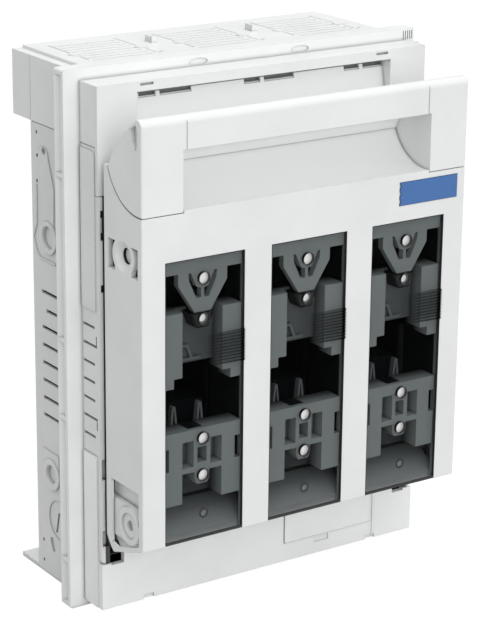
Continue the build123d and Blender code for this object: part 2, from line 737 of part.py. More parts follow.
def contact(pole_x, end, jaw_middle):
    """One contact; end is 1 at the top of the switch and -1 at the bottom."""
    inner = jaw_gap / 2
    outer = inner + jaw_leaf
    inside_end = jaw_middle - end * jaw_height / 2
    low, high = sorted((inside_end, end * bar_reach))
    slab(pole_x - bar_width / 2, pole_x + bar_width / 2, low, high, bar_depth, bar_front)
    for side in sides:
        leaf = ((inner, bar_front - 0.1), (inner, jaw_front - 12), (inner + jaw_flare, jaw_front),
                (outer + jaw_flare, jaw_front), (outer, jaw_front - 11), (outer, bar_front - 0.1))
        plan_shape([(pole_x + side * x, depth) for x, depth in leaf], jaw_middle - jaw_height / 2,
                   jaw_middle + jaw_height / 2)
    for height, radius in ((terminal_height, terminal_hole_radius),
                           (bar_screw_height, bar_screw_hole_radius)):
        with BuildSketch(Plane.XZ.offset(bar_depth)) as hole:
            with Locations((pole_x, end * height)):
                RegularPolygon(radius, hole_sides)
        extrude(hole.sketch, amount=bar_thickness, mode=Mode.SUBTRACT)


for number, pole_x in enumerate(pole_places, start=1):
    with BuildPart() as upper_contact:
        contact(pole_x, 1, jaw_upper_middle)
    upper_contact.part.label = f"upper_contact_{number}"
    export_step(upper_contact.part, f"parts/upper_contact_{number}.step")
    with BuildPart() as lower_contact:
        contact(pole_x, -1, jaw_lower_middle)
    lower_contact.part.label = f"lower_contact_{number}"
    export_step(lower_contact.part, f"parts/lower_contact_{number}.step")

# Ring springs that press the jaws together

spring_strip = 2.0
spring_clear = 0.15
spring_rise = 12.0
spring_width = 4.0
spring_back = bar_front + spring_rise

with BuildPart() as ring_springs:
    for pole_x in pole_places:
        for middle in (jaw_upper_middle, jaw_lower_middle):
            half = jaw_gap / 2 + jaw_leaf + spring_clear
            reach = jaw_height / 2 + spring_clear
            with BuildSketch(Plane.XZ.offset(spring_back)) as ring:
                with Locations((pole_x, middle)):
                    Rectangle(2 * (half + spring_strip), 2 * (reach + spring_strip))
                chamfer(ring.vertices(), length=spring_strip)
                with Locations((pole_x, middle)):
                    Rectangle(2 * half, 2 * reach, mode=Mode.SUBTRACT)
            extrude(amount=spring_width)
ring_springs.part.label = "ring_springs"
export_step(ring_springs.part, "parts/ring_springs.step")

# Screws of the terminal bars, and the terminal bolts with square washers and nuts.
# Their threaded shanks are drawn with eight sides.

thread_sides = 8
terminal_bolt_radius = 5.0
terminal_head_radius = 9.2
terminal_head_height = 6.4
terminal_nut_thickness = 8.0
terminal_end = 2.0
washer_thickness = 2.0
washer_side = 20.0
washer_clearance = 0.3
bar_screw_radius = 3.0
bar_screw_head_height = 3.6
terminal_points = [(x, end * terminal_height) for x in pole_places for end in sides]
bar_screw_points = [(x, end * bar_screw_height) for x in pole_places for end in sides]


def prisms(places, back, length, radius, count):
    """A many-sided prism at each place, pointing to the front."""
    with BuildSketch(Plane.XZ.offset(back)) as outline:
        with Locations(*places):
            RegularPolygon(radius, count)
    extrude(outline.sketch, amount=length)


with BuildPart() as terminal_bolts:
    shank = terminal_end + terminal_nut_thickness + bar_thickness + washer_thickness
    prisms(terminal_points, bar_front + washer_thickness - shank, shank, terminal_bolt_radius, thread_sides)
    prisms(terminal_points, bar_front + washer_thickness, terminal_head_height, terminal_head_radius, 6)
terminal_bolts.part.label = "terminal_bolts"
export_step(terminal_bolts.part, "parts/terminal_bolts.step")

with BuildPart() as terminal_washers:
    with BuildSketch(Plane.XZ.offset(bar_front)):
        with Locations(*terminal_points):
            Rectangle(washer_side, washer_side)
            RegularPolygon(terminal_bolt_radius + washer_clearance, thread_sides, mode=Mode.SUBTRACT)
    extrude(amount=washer_thickness)
terminal_washers.part.label = "terminal_washers"
export_step(terminal_washers.part, "parts/terminal_washers.step")

with BuildPart() as terminal_nuts:
    with BuildSketch(Plane.XZ.offset(bar_depth - terminal_nut_thickness)):
        with Locations(*terminal_points):
            RegularPolygon(terminal_head_radius, 6)
            RegularPolygon(terminal_bolt_radius, thread_sides, mode=Mode.SUBTRACT)
    extrude(amount=terminal_nut_thickness)
terminal_nuts.part.label = "terminal_nuts"
export_step(terminal_nuts.part, "parts/terminal_nuts.step")

with BuildPart() as bar_screws:
    prisms(bar_screw_points, bar_depth, bar_thickness, bar_screw_radius, thread_sides)
    prisms(bar_screw_points, bar_front, bar_screw_head_height, bar_screw_head_radius, 6)
bar_screws.part.label = "bar_screws"
export_step(bar_screws.part, "parts/bar_screws.step")

# Contact covers: hoods over the jaws, slotted for the fuse blades

blade_slot = 9.0
blade_slot_spare = 5.0
plate_pitch = 3.4
plate_count = 5
plate_thickness = 1.0
plate_first = jaw_upper_middle + jaw_height / 2 + 4.0
plate_notch = 6.0
arc_plate_back = bar_front + 8.0
arc_plate_front = hood_front - hood_wall - 4.9


def hood(pole_x, low, high, jaw_middle):
    """A box over one jaw, open at the back, with a slot for the fuse blade."""
    slab(pole_x - hood_half_width, pole_x + hood_half_width, low, high, hood_back, hood_front)
    slab(pole_x - hood_half_width + hood_wall, pole_x + hood_half_width - hood_wall, low + hood_wall,
         high - hood_wall, hood_back, hood_front - hood_wall, mode=Mode.SUBTRACT)
    reach = jaw_height / 2 + blade_slot_spare
    slab(pole_x - blade_slot / 2, pole_x + blade_slot / 2, jaw_middle - reach, jaw_middle + reach,
         hood_front - hood_wall, hood_front, mode=Mode.SUBTRACT)


for number, pole_x in enumerate(pole_places, start=1):
    with BuildPart() as upper_contact_cover:
        hood(pole_x, upper_hood[0], upper_hood[1], jaw_upper_middle)
    upper_contact_cover.part.label = f"upper_contact_cover_{number}"
    export_step(upper_contact_cover.part, f"parts/upper_contact_cover_{number}.step")
    with BuildPart() as lower_contact_cover:
        hood(pole_x, lower_hood[0], lower_hood[1], jaw_lower_middle)
    lower_contact_cover.part.label = f"lower_contact_cover_{number}"
    export_step(lower_contact_cover.part, f"parts/lower_contact_cover_{number}.step")

# Plates that split the arc, notched in front of the jaw

with BuildPart() as arc_plates:
    for pole_x in pole_places:
        half = hood_half_width - hood_wall
        for plate in range(plate_count):
            low = plate_first + plate * plate_pitch
            plan_shape([(pole_x - half, arc_plate_back), (pole_x + half, arc_plate_back),
                        (pole_x + half, arc_plate_front), (pole_x + plate_notch, arc_plate_front),
                        (pole_x, arc_plate_back + 10), (pole_x - plate_notch, arc_plate_front),
                        (pole_x - half, arc_plate_front)], low, low + plate_thickness)
arc_plates.part.label = "arc_plates"
export_step(arc_plates.part, "parts/arc_plates.step")

# Hinge pins, fixed in the lugs and free in the lid

with BuildPart() as hinge_pins:
    for side in sides:
        side_disc(hinge_depth, hinge_height, hinge_pin_radius, side * pin_inside, side * pin_outside)
hinge_pins.part.label = "hinge_pins"
export_step(hinge_pins.part, "parts/hinge_pins.step")

# Lid frame

lid_wall = 3.0
barrier = 2.0
rail_rise = 16.0
rail_knee = lid_front - 20.8
rail_top = lid_bottom + rail_rise
seat_rise = 22.2
seat_top = hinge_height + seat_rise
seat_front = hinge_depth + hinge_hub_radius + seam
swing_reach = 14.9
swing_low_depth = hinge_depth - swing_reach
swing_low_height = hinge_height - (swing_radius ** 2 - swing_reach ** 2) ** 0.5
rim_rear = 5.2
rim_low = 2.7
catch_depth = lid_back + 18.7
catch_height = window_top + 1.1
catch_outer = 8.2
catch_inner = 5.0
catch_hole = 4.4
catch_cone = 2.4
catch_slot_inner = 10.5
catch_slot_low = catch_height - 9.1
catch_slot_high = catch_height + 7.0
catch_slots = ((-14.9, -8.0), (8.0, 14.5))
label_right = lid_side - 5.5
label_width = 39.7
label_left = label_right - label_width
label_bottom = window_top + 8.9
label_height = 12.9
label_top = label_bottom + label_height
label_seat = 0.6


def underside(depth):
    """Height of the lid's sloping underside at a depth."""
    slope = (lid_bottom - swing_low_height) / (lid_front - swing_low_depth)
    return lid_bottom - (lid_front - depth) * slope


def lid_profile(x_low, x_high, radius):
    """The lid's outer section, with the seam arc of the given radius on top."""
    with BuildSketch(Plane.YZ.offset(x_low)) as outline:
        with BuildLine():
            front_corner = leaf_front_point(radius)
            rear_corner = leaf_point(radius, leaf_rear_angle)
            arc_middle = leaf_point(radius, (leaf_rear_angle + leaf_front_angle) / 2)
            swing_start = (-swing_low_depth, swing_low_height)
            swing_rise = hinge_depth - lid_back
            swing_end = (-lid_back, hinge_height - (swing_radius ** 2 - swing_rise ** 2) ** 0.5)
            middle_reach = (swing_rise + swing_reach) / 2
            swing_middle = (-hinge_depth + middle_reach,
                            hinge_height - (swing_radius ** 2 - middle_reach ** 2) ** 0.5)
            Line((-lid_front, lid_bottom), front_corner)
            ThreePointArc(front_corner, arc_middle, rear_corner)
            Polyline(rear_corner, (-lid_back, rear_corner[1]), swing_end)
            ThreePointArc(swing_end, swing_middle, swing_start)
            Line(swing_start, (-lid_front, lid_bottom))
        make_face()
    extrude(outline.sketch, amount=x_high - x_low)


with BuildPart() as lid_frame:
    lid_profile(-lid_side, lid_side, leaf_radius + seam)
    lid_profile(-scoop_half_width + seam, scoop_half_width - seam, leaf_radius - scoop_floor)
    # Rounded front corners
    front_edges = lid_frame.edges().filter_by(Axis.Z).group_by(Axis.Y)[0]
    fillet([front_edges.sort_by(Axis.X)[0], front_edges.sort_by(Axis.X)[-1]], radius=edge_round)
    # Hollow back, with a barrier between the poles
    lid_edges = [-lid_side] + pole_gaps + [lid_side]
    for left, right in zip(lid_edges[:-1], lid_edges[1:]):
        low = left + barrier / 2
        high = right - barrier / 2
        low_narrow = low
        high_narrow = high
        if left == lid_edges[0]:
            low = left + lid_wall
            low_narrow = -pocket_inside + wall
        if right == lid_edges[-1]:
            high = right - lid_wall
            high_narrow = pocket_inside - wall
        # Space behind the windows
        arc_low = leaf_radius + seam + lid_wall + scoop_floor
        inner_rear = leaf_point(arc_low, leaf_rear_angle + 12)
        inner_middle = leaf_point(arc_low, 242)
        side_shape([(plate_back, seat_top + 2), (plate_back, lid_seam - 4.0),
                    (-inner_middle[0], inner_middle[1]), (-inner_rear[0], inner_rear[1]),
                    (lid_back - cut_over, inner_rear[1] + 2), (lid_back - cut_over, seat_top + 2)], low,
                   high, mode=Mode.SUBTRACT)
        side_shape([(plate_back, seat_top + 2), (lid_back - cut_over, seat_top + 2),
                    (lid_back - cut_over, rail_top), (rail_knee, rail_top), (plate_back, lid_bottom + 3.5)],
                   low_narrow, high_narrow, mode=Mode.SUBTRACT)
        # Space under the bottom rail
        side_shape([(lid_front - 7.8, lid_bottom + 0.5), (rail_knee, rail_top - lid_wall),
                    (lid_back - cut_over, rail_top - lid_wall), (lid_back - cut_over, lid_bottom + 1.5),
                    (lid_back + 1.4, lid_bottom), (lid_back + 6.9, lid_bottom - 6.6)], low_narrow,
                   high_narrow, mode=Mode.SUBTRACT)
    # Window openings and the grooves of the panes, open at the bottom edge
    for pole_x in pole_places:
        half = window_width / 2
        slab(pole_x - half, pole_x + half, lid_bottom - 15, window_top, plate_back - 0.2,
             lid_front + cut_over, mode=Mode.SUBTRACT)
        half = window_width / 2 + groove_side
        slab(pole_x - half, pole_x + half, lid_bottom - 15, window_top + 1.5, groove_back, groove_front,
             mode=Mode.SUBTRACT)
    for side in sides:
        outside = side * (lid_side + cut_over)
        skin_inside = side * (lid_side - hinge_skin)
        # Pocket of the hinge lug, open at the back and bottom
        side_block(lid_back - cut_over, seat_front, lid_bottom - 20, seat_top, side * pocket_inside,
                   skin_inside, Mode.SUBTRACT)
        # Opening in the skin that the hub shows in
        side_shape([(lid_back + rim_rear, seat_top), (seat_front, seat_top),
                    (seat_front, underside(seat_front) + rim_low),
                    (lid_back + 11.5, underside(lid_back + 11.5) + rim_low),
                    (lid_back + rim_rear, underside(lid_back + 11.5) + rim_low + 1.1)],
                   side * (lug_outside - 0.1), outside, Mode.SUBTRACT)
        side_disc(hinge_depth, hinge_height, hinge_pin_radius + pin_gap, side * (pin_inside - 2), outside,
                  mode=Mode.SUBTRACT)
        # Round catch seat between two slots with hollowed ends
        side_cone(catch_depth, catch_height, catch_outer, catch_inner, side * lid_side,
                  side * (lid_side - catch_cone))
        side_disc(catch_depth, catch_height, catch_hole, side * (lid_side - lid_wall - cut_over), outside,
                  Mode.SUBTRACT)
        for near, far in catch_slots:
            with BuildSketch(Plane.YZ.offset(side * (lid_side - lid_wall - cut_over))) as slot:
                with BuildLine():
                    Polyline((-catch_depth - near, catch_slot_low), (-catch_depth - far, catch_slot_low),
                             (-catch_depth - far, catch_slot_high), (-catch_depth - near, catch_slot_high),
                             close=True)
                make_face()
                with Locations((-catch_depth, catch_height)):
                    Circle(catch_slot_inner, mode=Mode.SUBTRACT)
            extrude(slot.sketch, amount=side * (lid_wall + 2 * cut_over), mode=Mode.SUBTRACT)
    # Seat of the label
    slab(label_left - seam / 2, label_right + seam / 2, label_bottom - seam / 2, label_top + seam / 2,
         lid_front - label_seat, lid_front + cut_over, mode=Mode.SUBTRACT)
lid_frame.part.label = "lid_frame"
export_step(lid_frame.part, "parts/lid_frame.step")

# Handle: two leaf-shaped cheeks joined by a grip bar and a rear skin

tip_setback = 5.6
cheek_chamfer = 0.6
tip_depth = lid_front - tip_setback
tip_drop = 3.5
tip_middle_setback = 1.6
tip_middle_drop = 0.8
bar_bottom = handle_top - bar_height
outer_middle = (-(lid_front - 21.4), handle_top - 12.8)
bar_edge = 0.6
bar_step = 0.8
bar_back_height = 9.5
bar_skin = 2.4
pocket_end_angle = 2.5
pocket_first_angle = 18.0
pocket_middle_angle = 243.0
bar_groove = 0.8
bar_groove_place = scoop_half_width - 2.0
drop_mark = [(-5.3, -2.5), (-11.2, -5.7), (-10.2, -12.4), (-7.6, -16.3), (-4.6, -15.6), (-3.9, -6.0)]

with BuildPart() as handle:
    with BuildSketch(Plane.YZ.offset(-lid_side)):
        with BuildLine():
            front_low = leaf_front_point(leaf_radius)
            rear_corner = leaf_point(leaf_radius, leaf_rear_angle)
            seam_middle = leaf_point(leaf_radius, (leaf_rear_angle + leaf_front_angle) / 2)
            tip_start = (-lid_front, handle_top - tip_drop)
            Line(front_low, tip_start)
            tip_middle = (-lid_front + tip_middle_setback, handle_top - tip_middle_drop)
            ThreePointArc(tip_start, tip_middle, (-tip_depth, handle_top))
            ThreePointArc((-tip_depth, handle_top), outer_middle, rear_corner)
            ThreePointArc(rear_corner, seam_middle, front_low)
        make_face()
    extrude(amount=2 * lid_side)
    # Cut edge round both cheeks, except at the short arc of the tip
    for end_face in (handle.faces().sort_by(Axis.X)[0], handle.faces().sort_by(Axis.X)[-1]):
        chamfer(end_face.edges().sort_by(SortBy.LENGTH)[1:], length=cheek_chamfer)
    # Finger pocket under and behind the bar
    with BuildSketch(Plane.YZ.offset(-scoop_half_width)):
        with BuildLine():
            skin_radius = leaf_radius - scoop_floor - seam
            cut_radius = leaf_radius + 2
            bar_back = -lid_front + bar_lip
            pocket_rear = leaf_point(skin_radius, leaf_rear_angle + 6)
            bar_back_top = (bar_back, bar_bottom + bar_back_height)
            bar_skin_middle = (outer_middle[0] - bar_skin, outer_middle[1] - bar_skin)
            in_front = -lid_front - cut_over
            Polyline((in_front, bar_bottom), (-lid_front + bar_edge, bar_bottom),
                     (-lid_front + bar_edge + bar_step, bar_bottom - bar_edge), (bar_back, bar_bottom),
                     bar_back_top)
            ThreePointArc(bar_back_top, bar_skin_middle, pocket_rear)
            Polyline(pocket_rear, leaf_point(skin_radius, leaf_rear_angle - pocket_end_angle),
                     leaf_point(cut_radius, leaf_rear_angle - pocket_end_angle),
                     leaf_point(cut_radius, leaf_rear_angle + pocket_first_angle),
                     leaf_point(cut_radius, pocket_middle_angle), leaf_point(cut_radius, leaf_front_angle),
                     (in_front, leaf_centre_height - cut_radius), (in_front, bar_bottom))
        make_face()
    extrude(amount=2 * scoop_half_width, mode=Mode.SUBTRACT)
    # Fine grooves that border the grip bar, and the drop-shaped mark in each cheek
    for side in sides:
        slab(side * (bar_groove_place - bar_groove / 2), side * (bar_groove_place + bar_groove / 2),
             bar_bottom - cut_over, handle_top, lid_front - 0.5, lid_front + cut_over, mode=Mode.SUBTRACT)
        side_shape([(lid_front + depth, handle_top + height) for depth, height in drop_mark],
                   side * (lid_side - 3), side * (lid_side + cut_over), mode=Mode.SUBTRACT)
handle.part.label = "handle"
export_step(handle.part, "parts/handle.step")

# Label insert with a toothed left edge

label_teeth = 6
label_tooth_depth = 1.2
label_proud = 0.2

with BuildPart() as label_insert:
    tooth = label_height / label_teeth
    points = [(label_right, label_bottom), (label_right, label_top)]
    for step in range(label_teeth + 1):
        inset = 0 if step % 2 == 0 else label_tooth_depth
        points.append((label_left + inset, label_top - step * tooth))
    front_shape(points, lid_front - label_seat, lid_front + label_proud)
label_insert.part.label = "label_insert"
export_step(label_insert.part, "parts/label_insert.step")

# Sliding windows

probe_radius = 3.6
probe_heights = (window_top - 11.9, window_top - 34.0, lid_bottom + 56.6, lid_bottom + 35.7)
small_probe_radius = 2.4
small_probe_height = lid_bottom + 14.0
pane_bottom = lid_bottom + 0.2
pane_top = window_top + 1.2
foot_bar_height = 1.6
grip_height = 17.2
grip_top = window_top - 43.2
grip_bottom = grip_top - grip_height
grip_rise = 1.9
grip_start = 2.0
grip_notches = 9
notch_half = 0.45

for number, pole_x in enumerate(pole_places, start=1):
    with BuildPart() as window:
        half = window_width / 2 + groove_side - slide_gap
        slab(pole_x - half, pole_x + half, pane_bottom, pane_top, pane_back, pane_front)
        # Bar along the bottom edge
        bar_half = window_width / 2 - slide_gap
        slab(pole_x - bar_half, pole_x + bar_half, pane_bottom, pane_bottom + foot_bar_height, pane_front,
             lid_front)
        # Thumb grip: a wedge that rises to the right, with notches across it
        wedge_start = pole_x + grip_start
        wedge_end = pole_x + bar_half
        plan_shape([(wedge_start, pane_front), (wedge_end, pane_front), (wedge_end, pane_front + grip_rise)],
                   grip_bottom, grip_top)
        notch_pitch = grip_height / (grip_notches + 1)
        for notch in range(grip_notches):
            middle = grip_bottom + (notch + 1) * notch_pitch
            side_shape([(pane_front + 0.1, middle), (pane_front + grip_rise + 0.4, middle - notch_half),
                        (pane_front + grip_rise + 0.4, middle + notch_half)], wedge_start - cut_over,
                       wedge_end + cut_over, mode=Mode.SUBTRACT)
        # Holes for the test probe
        with BuildSketch(Plane.XZ.offset(pane_back)):
            with Locations(*[(pole_x, height) for height in probe_heights]):
                Circle(probe_radius)
            with Locations((pole_x, small_probe_height)):
                Circle(small_probe_radius)
        extrude(amount=pane_thickness, mode=Mode.SUBTRACT)
    window.part.label = f"window_{number}"
    export_step(window.part, f"parts/window_{number}.step")

# Fuse carriers, grippers and latches behind the windows

carrier_gap = 0.4
carrier_front = pane_back - carrier_gap
carrier_half = window_width / 2 - slide_gap
rail_inner = window_width / 2 + 0.3
rail_outer = pole_pitch / 2 - barrier / 2 - 2.0
rail_front = plate_back - 0.2
carrier_back = lid_back + 4.4
web_back = carrier_back + 4.0
web_front = web_back + 4.0
pillar_inner = 12.4
pillar_height = 35.6
band_height = 7.8
band_top = window_top - 0.3
band_bottom = band_top - band_height
pillar_top = window_top - 29.3
pillar_bottom = pillar_top - pillar_height
foot_bottom = pillar_bottom - 5.0
block_top = lid_bottom + 62.0
block_bottom = lid_bottom + 21.0
block_slope = web_front + 6.0
horn_place = 8.1
horn_half = 2.6
horn_height = 6.6
# Pockets of the lower block on each side: near and far edge, top and bottom below the
# block's top, and how deep they go
side_pockets = ((5.3, 12.2, 6.4, 21.2, 12.2), (5.2, pillar_inner, 24.2, 39.8, 16.2),
                (20.7, carrier_half + cut_over, 8.5, 21.2, 8.2))
middle_pockets = ((2.9, 11.2, 17.8, 8.2), (5.3, 31.6, 39.8, 16.2))
gripper_thickness = 4.2
gripper_back = carrier_front - gripper_thickness
gripper_half = 15.1
gripper_neck = 5.0
gripper_low = band_bottom - 22.2
gripper_shoulder = band_bottom - 6.6
claw_cut = [(7.2, 0.6), (8.8, 0.6), (8.3, 5.0), (3.9, 14.4), (0.9, 14.4), (0.9, 9.4), (3.6, 8.4)]
latch_half = 7.3
latch_end_half = 4.0
latch_top = gripper_low - 0.4
latch_height = 8.7
tongue_half = 4.5
tongue_length = 11.6
tongue_thickness = 7.8

for number, pole_x in enumerate(pole_places, start=1):
    with BuildPart() as fuse_carrier:
        for side in sides:
            # Side rails behind the lid's bars
            slab(pole_x + side * rail_inner, pole_x + side * rail_outer, block_bottom, band_top,
                 carrier_back, rail_front)
            # Pillars beside the gripper, with a stepped foot
            slab(pole_x + side * pillar_inner, pole_x + side * carrier_half, pillar_bottom, pillar_top,
                 web_back, carrier_front)
            slab(pole_x + side * (pillar_inner + 5.4), pole_x + side * carrier_half, foot_bottom,
                 pillar_bottom, web_back, carrier_front)
            near = pole_x + side * (carrier_half - 0.2)
            far = pole_x + side * (rail_inner + 0.2)
            slab(near, far, foot_bottom, band_top, web_back, rail_front)
            slab(near, far, block_bottom, block_top, web_back, rail_front)
        # Band across the top and the web behind the gripper
        slab(pole_x - carrier_half, pole_x + carrier_half, band_bottom, band_top, web_back, carrier_front)
        slab(pole_x - rail_inner, pole_x + rail_inner, pillar_bottom - 3, band_top, web_back, web_front)
        # Lower block with a sloping top
        side_shape([(carrier_front, block_bottom), (carrier_front, block_top), (block_slope, block_top + 2),
                    (web_front, block_top - 3), (web_back, block_top - 3), (web_back, block_bottom)],
                   pole_x - carrier_half, pole_x + carrier_half)
        for near, far, top, bottom, depth in side_pockets:
            for side in sides:
                slab(pole_x + side * near, pole_x + side * far, block_top - bottom, block_top - top,
                     carrier_front - depth, carrier_front + cut_over, mode=Mode.SUBTRACT)
        for half, top, bottom, depth in middle_pockets:
            slab(pole_x - half, pole_x + half, block_top - bottom, block_top - top, carrier_front - depth,
                 carrier_front + cut_over, mode=Mode.SUBTRACT)
        # Guide horns
        for side in sides:
            front_shape([(pole_x + side * (horn_place - horn_half), block_top - 2),
                         (pole_x + side * (horn_place + horn_half), block_top - 2),
                         (pole_x + side * horn_place, block_top + horn_height)], web_front + 3, web_front + 7)
    fuse_carrier.part.label = f"fuse_carrier_{number}"
    export_step(fuse_carrier.part, f"parts/fuse_carrier_{number}.step")

    with BuildPart() as fuse_gripper:
        front_shape([(pole_x - gripper_half, band_bottom), (pole_x - gripper_half, gripper_shoulder),
                     (pole_x - gripper_neck, gripper_low), (pole_x + gripper_neck, gripper_low),
                     (pole_x + gripper_half, gripper_shoulder), (pole_x + gripper_half, band_bottom)],
                    gripper_back, carrier_front)
        # Claws cut free on both sides of the middle
        for side in sides:
            front_shape([(pole_x + side * x, band_bottom - drop) for x, drop in claw_cut],
                        gripper_back - cut_over, carrier_front + cut_over, mode=Mode.SUBTRACT)
    fuse_gripper.part.label = f"fuse_gripper_{number}"
    export_step(fuse_gripper.part, f"parts/fuse_gripper_{number}.step")

    with BuildPart() as gripper_latch:
        front_shape([(pole_x - latch_half, latch_top), (pole_x - latch_end_half, latch_top - latch_height),
                     (pole_x + latch_end_half, latch_top - latch_height), (pole_x + latch_half, latch_top)],
                    web_front, carrier_front - 0.6)
        slab(pole_x - tongue_half, pole_x + tongue_half, latch_top, latch_top + tongue_length,
             gripper_back - 0.2 - tongue_thickness, gripper_back - 0.2)
        fillet(gripper_latch.edges().filter_by(Axis.Y).group_by(Axis.Z)[0], radius=2.0)
    gripper_latch.part.label = f"gripper_latch_{number}"
    export_step(gripper_latch.part, f"parts/gripper_latch_{number}.step")
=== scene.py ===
from math import cos, pi, sin

import bmesh
import bpy
from mathutils import Matrix, Vector


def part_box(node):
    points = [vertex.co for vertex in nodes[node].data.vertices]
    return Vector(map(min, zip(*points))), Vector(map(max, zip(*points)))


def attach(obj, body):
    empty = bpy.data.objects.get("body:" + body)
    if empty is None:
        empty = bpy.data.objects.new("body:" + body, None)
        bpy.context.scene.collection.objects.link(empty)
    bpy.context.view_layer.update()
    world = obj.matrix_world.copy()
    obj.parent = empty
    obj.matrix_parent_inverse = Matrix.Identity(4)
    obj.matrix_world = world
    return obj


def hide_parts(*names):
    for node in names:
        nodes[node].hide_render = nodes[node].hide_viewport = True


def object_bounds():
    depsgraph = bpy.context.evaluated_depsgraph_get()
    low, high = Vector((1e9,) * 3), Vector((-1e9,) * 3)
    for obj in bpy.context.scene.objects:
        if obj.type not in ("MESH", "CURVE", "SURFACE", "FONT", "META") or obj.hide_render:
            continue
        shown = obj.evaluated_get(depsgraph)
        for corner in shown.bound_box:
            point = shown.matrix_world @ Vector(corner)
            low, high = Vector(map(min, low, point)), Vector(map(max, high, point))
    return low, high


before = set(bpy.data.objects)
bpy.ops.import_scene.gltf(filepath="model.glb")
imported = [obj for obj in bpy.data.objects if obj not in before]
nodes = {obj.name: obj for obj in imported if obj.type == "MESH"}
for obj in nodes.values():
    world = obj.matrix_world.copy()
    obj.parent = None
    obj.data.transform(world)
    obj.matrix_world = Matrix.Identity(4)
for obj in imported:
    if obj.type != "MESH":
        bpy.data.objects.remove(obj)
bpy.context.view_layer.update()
MM = 0.001

# Camera: the photograph's viewing angle, solved from the object's edges.
CAMERA_PLACE = Vector((-0.669036, -1.066645, 0.387999))
CAMERA_YAW = 0.592287
CAMERA_PITCH = 0.313110
CAMERA_ROLL = 0.010131
CAMERA_LENS = 129.45
SENSOR = 36.0
NEAREST = 0.05
FARTHEST = 60


def make_camera():
    yaw, pitch, roll = CAMERA_YAW, CAMERA_PITCH, CAMERA_ROLL
    forward = Vector((sin(yaw) * cos(pitch), cos(yaw) * cos(pitch), -sin(pitch)))
    level_right = Vector((cos(yaw), -sin(yaw), 0))
    level_up = level_right.cross(forward)
    right = cos(roll) * level_right + sin(roll) * level_up
    up = -sin(roll) * level_right + cos(roll) * level_up
    data = bpy.data.cameras.new("camera")
    data.lens = CAMERA_LENS
    data.sensor_width = SENSOR
    data.sensor_fit = "AUTO"
    data.dof.use_dof = False
    data.clip_start = NEAREST
    data.clip_end = FARTHEST
    camera = bpy.data.objects.new("camera", data)
    bpy.context.scene.collection.objects.link(camera)
    turn = Matrix((right, up, -forward)).transposed().to_4x4()
    camera.matrix_world = Matrix.Translation(CAMERA_PLACE) @ turn
    bpy.context.scene.camera = camera


make_camera()
bpy.context.scene.view_settings.view_transform = "Standard"


# Materials

# In millimetres
POLE_PITCH = 66.0
RIB_PITCH = 1.72
# How far across each window the painted shade of the grip's ribs reaches
RIB_SHADE_REACH = 11

# In metres, as the shaders take them
# How far the painted shade in crevices reaches
CREVICE_SHADE_REACH = 0.0022
MOULDED_EDGE = 0.0004
METAL_EDGE = 0.0003
GRAIN_HEIGHT = 0.00005
WARP_HEIGHT = 0.0006
ROLLING_HEIGHT = 0.00004
PANE_WARP_HEIGHT = 0.0004

# The length at which a wave texture of scale 1 repeats, in metres
WAVE_LENGTH = 0.314

# Features per metre of the noise in each kind of surface
CLOUD_SCALE = 26
GLOSS_SCALE = 70
GRAIN_SCALE = 1500
WARP_SCALE = 34
ROLLING_SCALE = 420
PANE_GLOSS_SCALE = 55
PANE_WARP_SCALE = 38

# How dark the painted shade in crevices gets
CREVICE_SHADE_DEPTH = 0.55
CLOUD_DARKEST = 0.955
CLOUD_LIGHTEST = 1.02
ROLLING_DARKEST = 0.86
CLEAR_REFRACTION = 1.05
# Tones of painted shade in hollows and inside the shroud, and of painted light in the finger pocket and
# recess
PAINTED_SHADE_TONE = (0.012, 0.013, 0.014)
SHROUD_PAINTED_SHADE_TONE = (0.045, 0.046, 0.047)
PAINTED_LIGHT_TONE = (0.90, 0.905, 0.905)


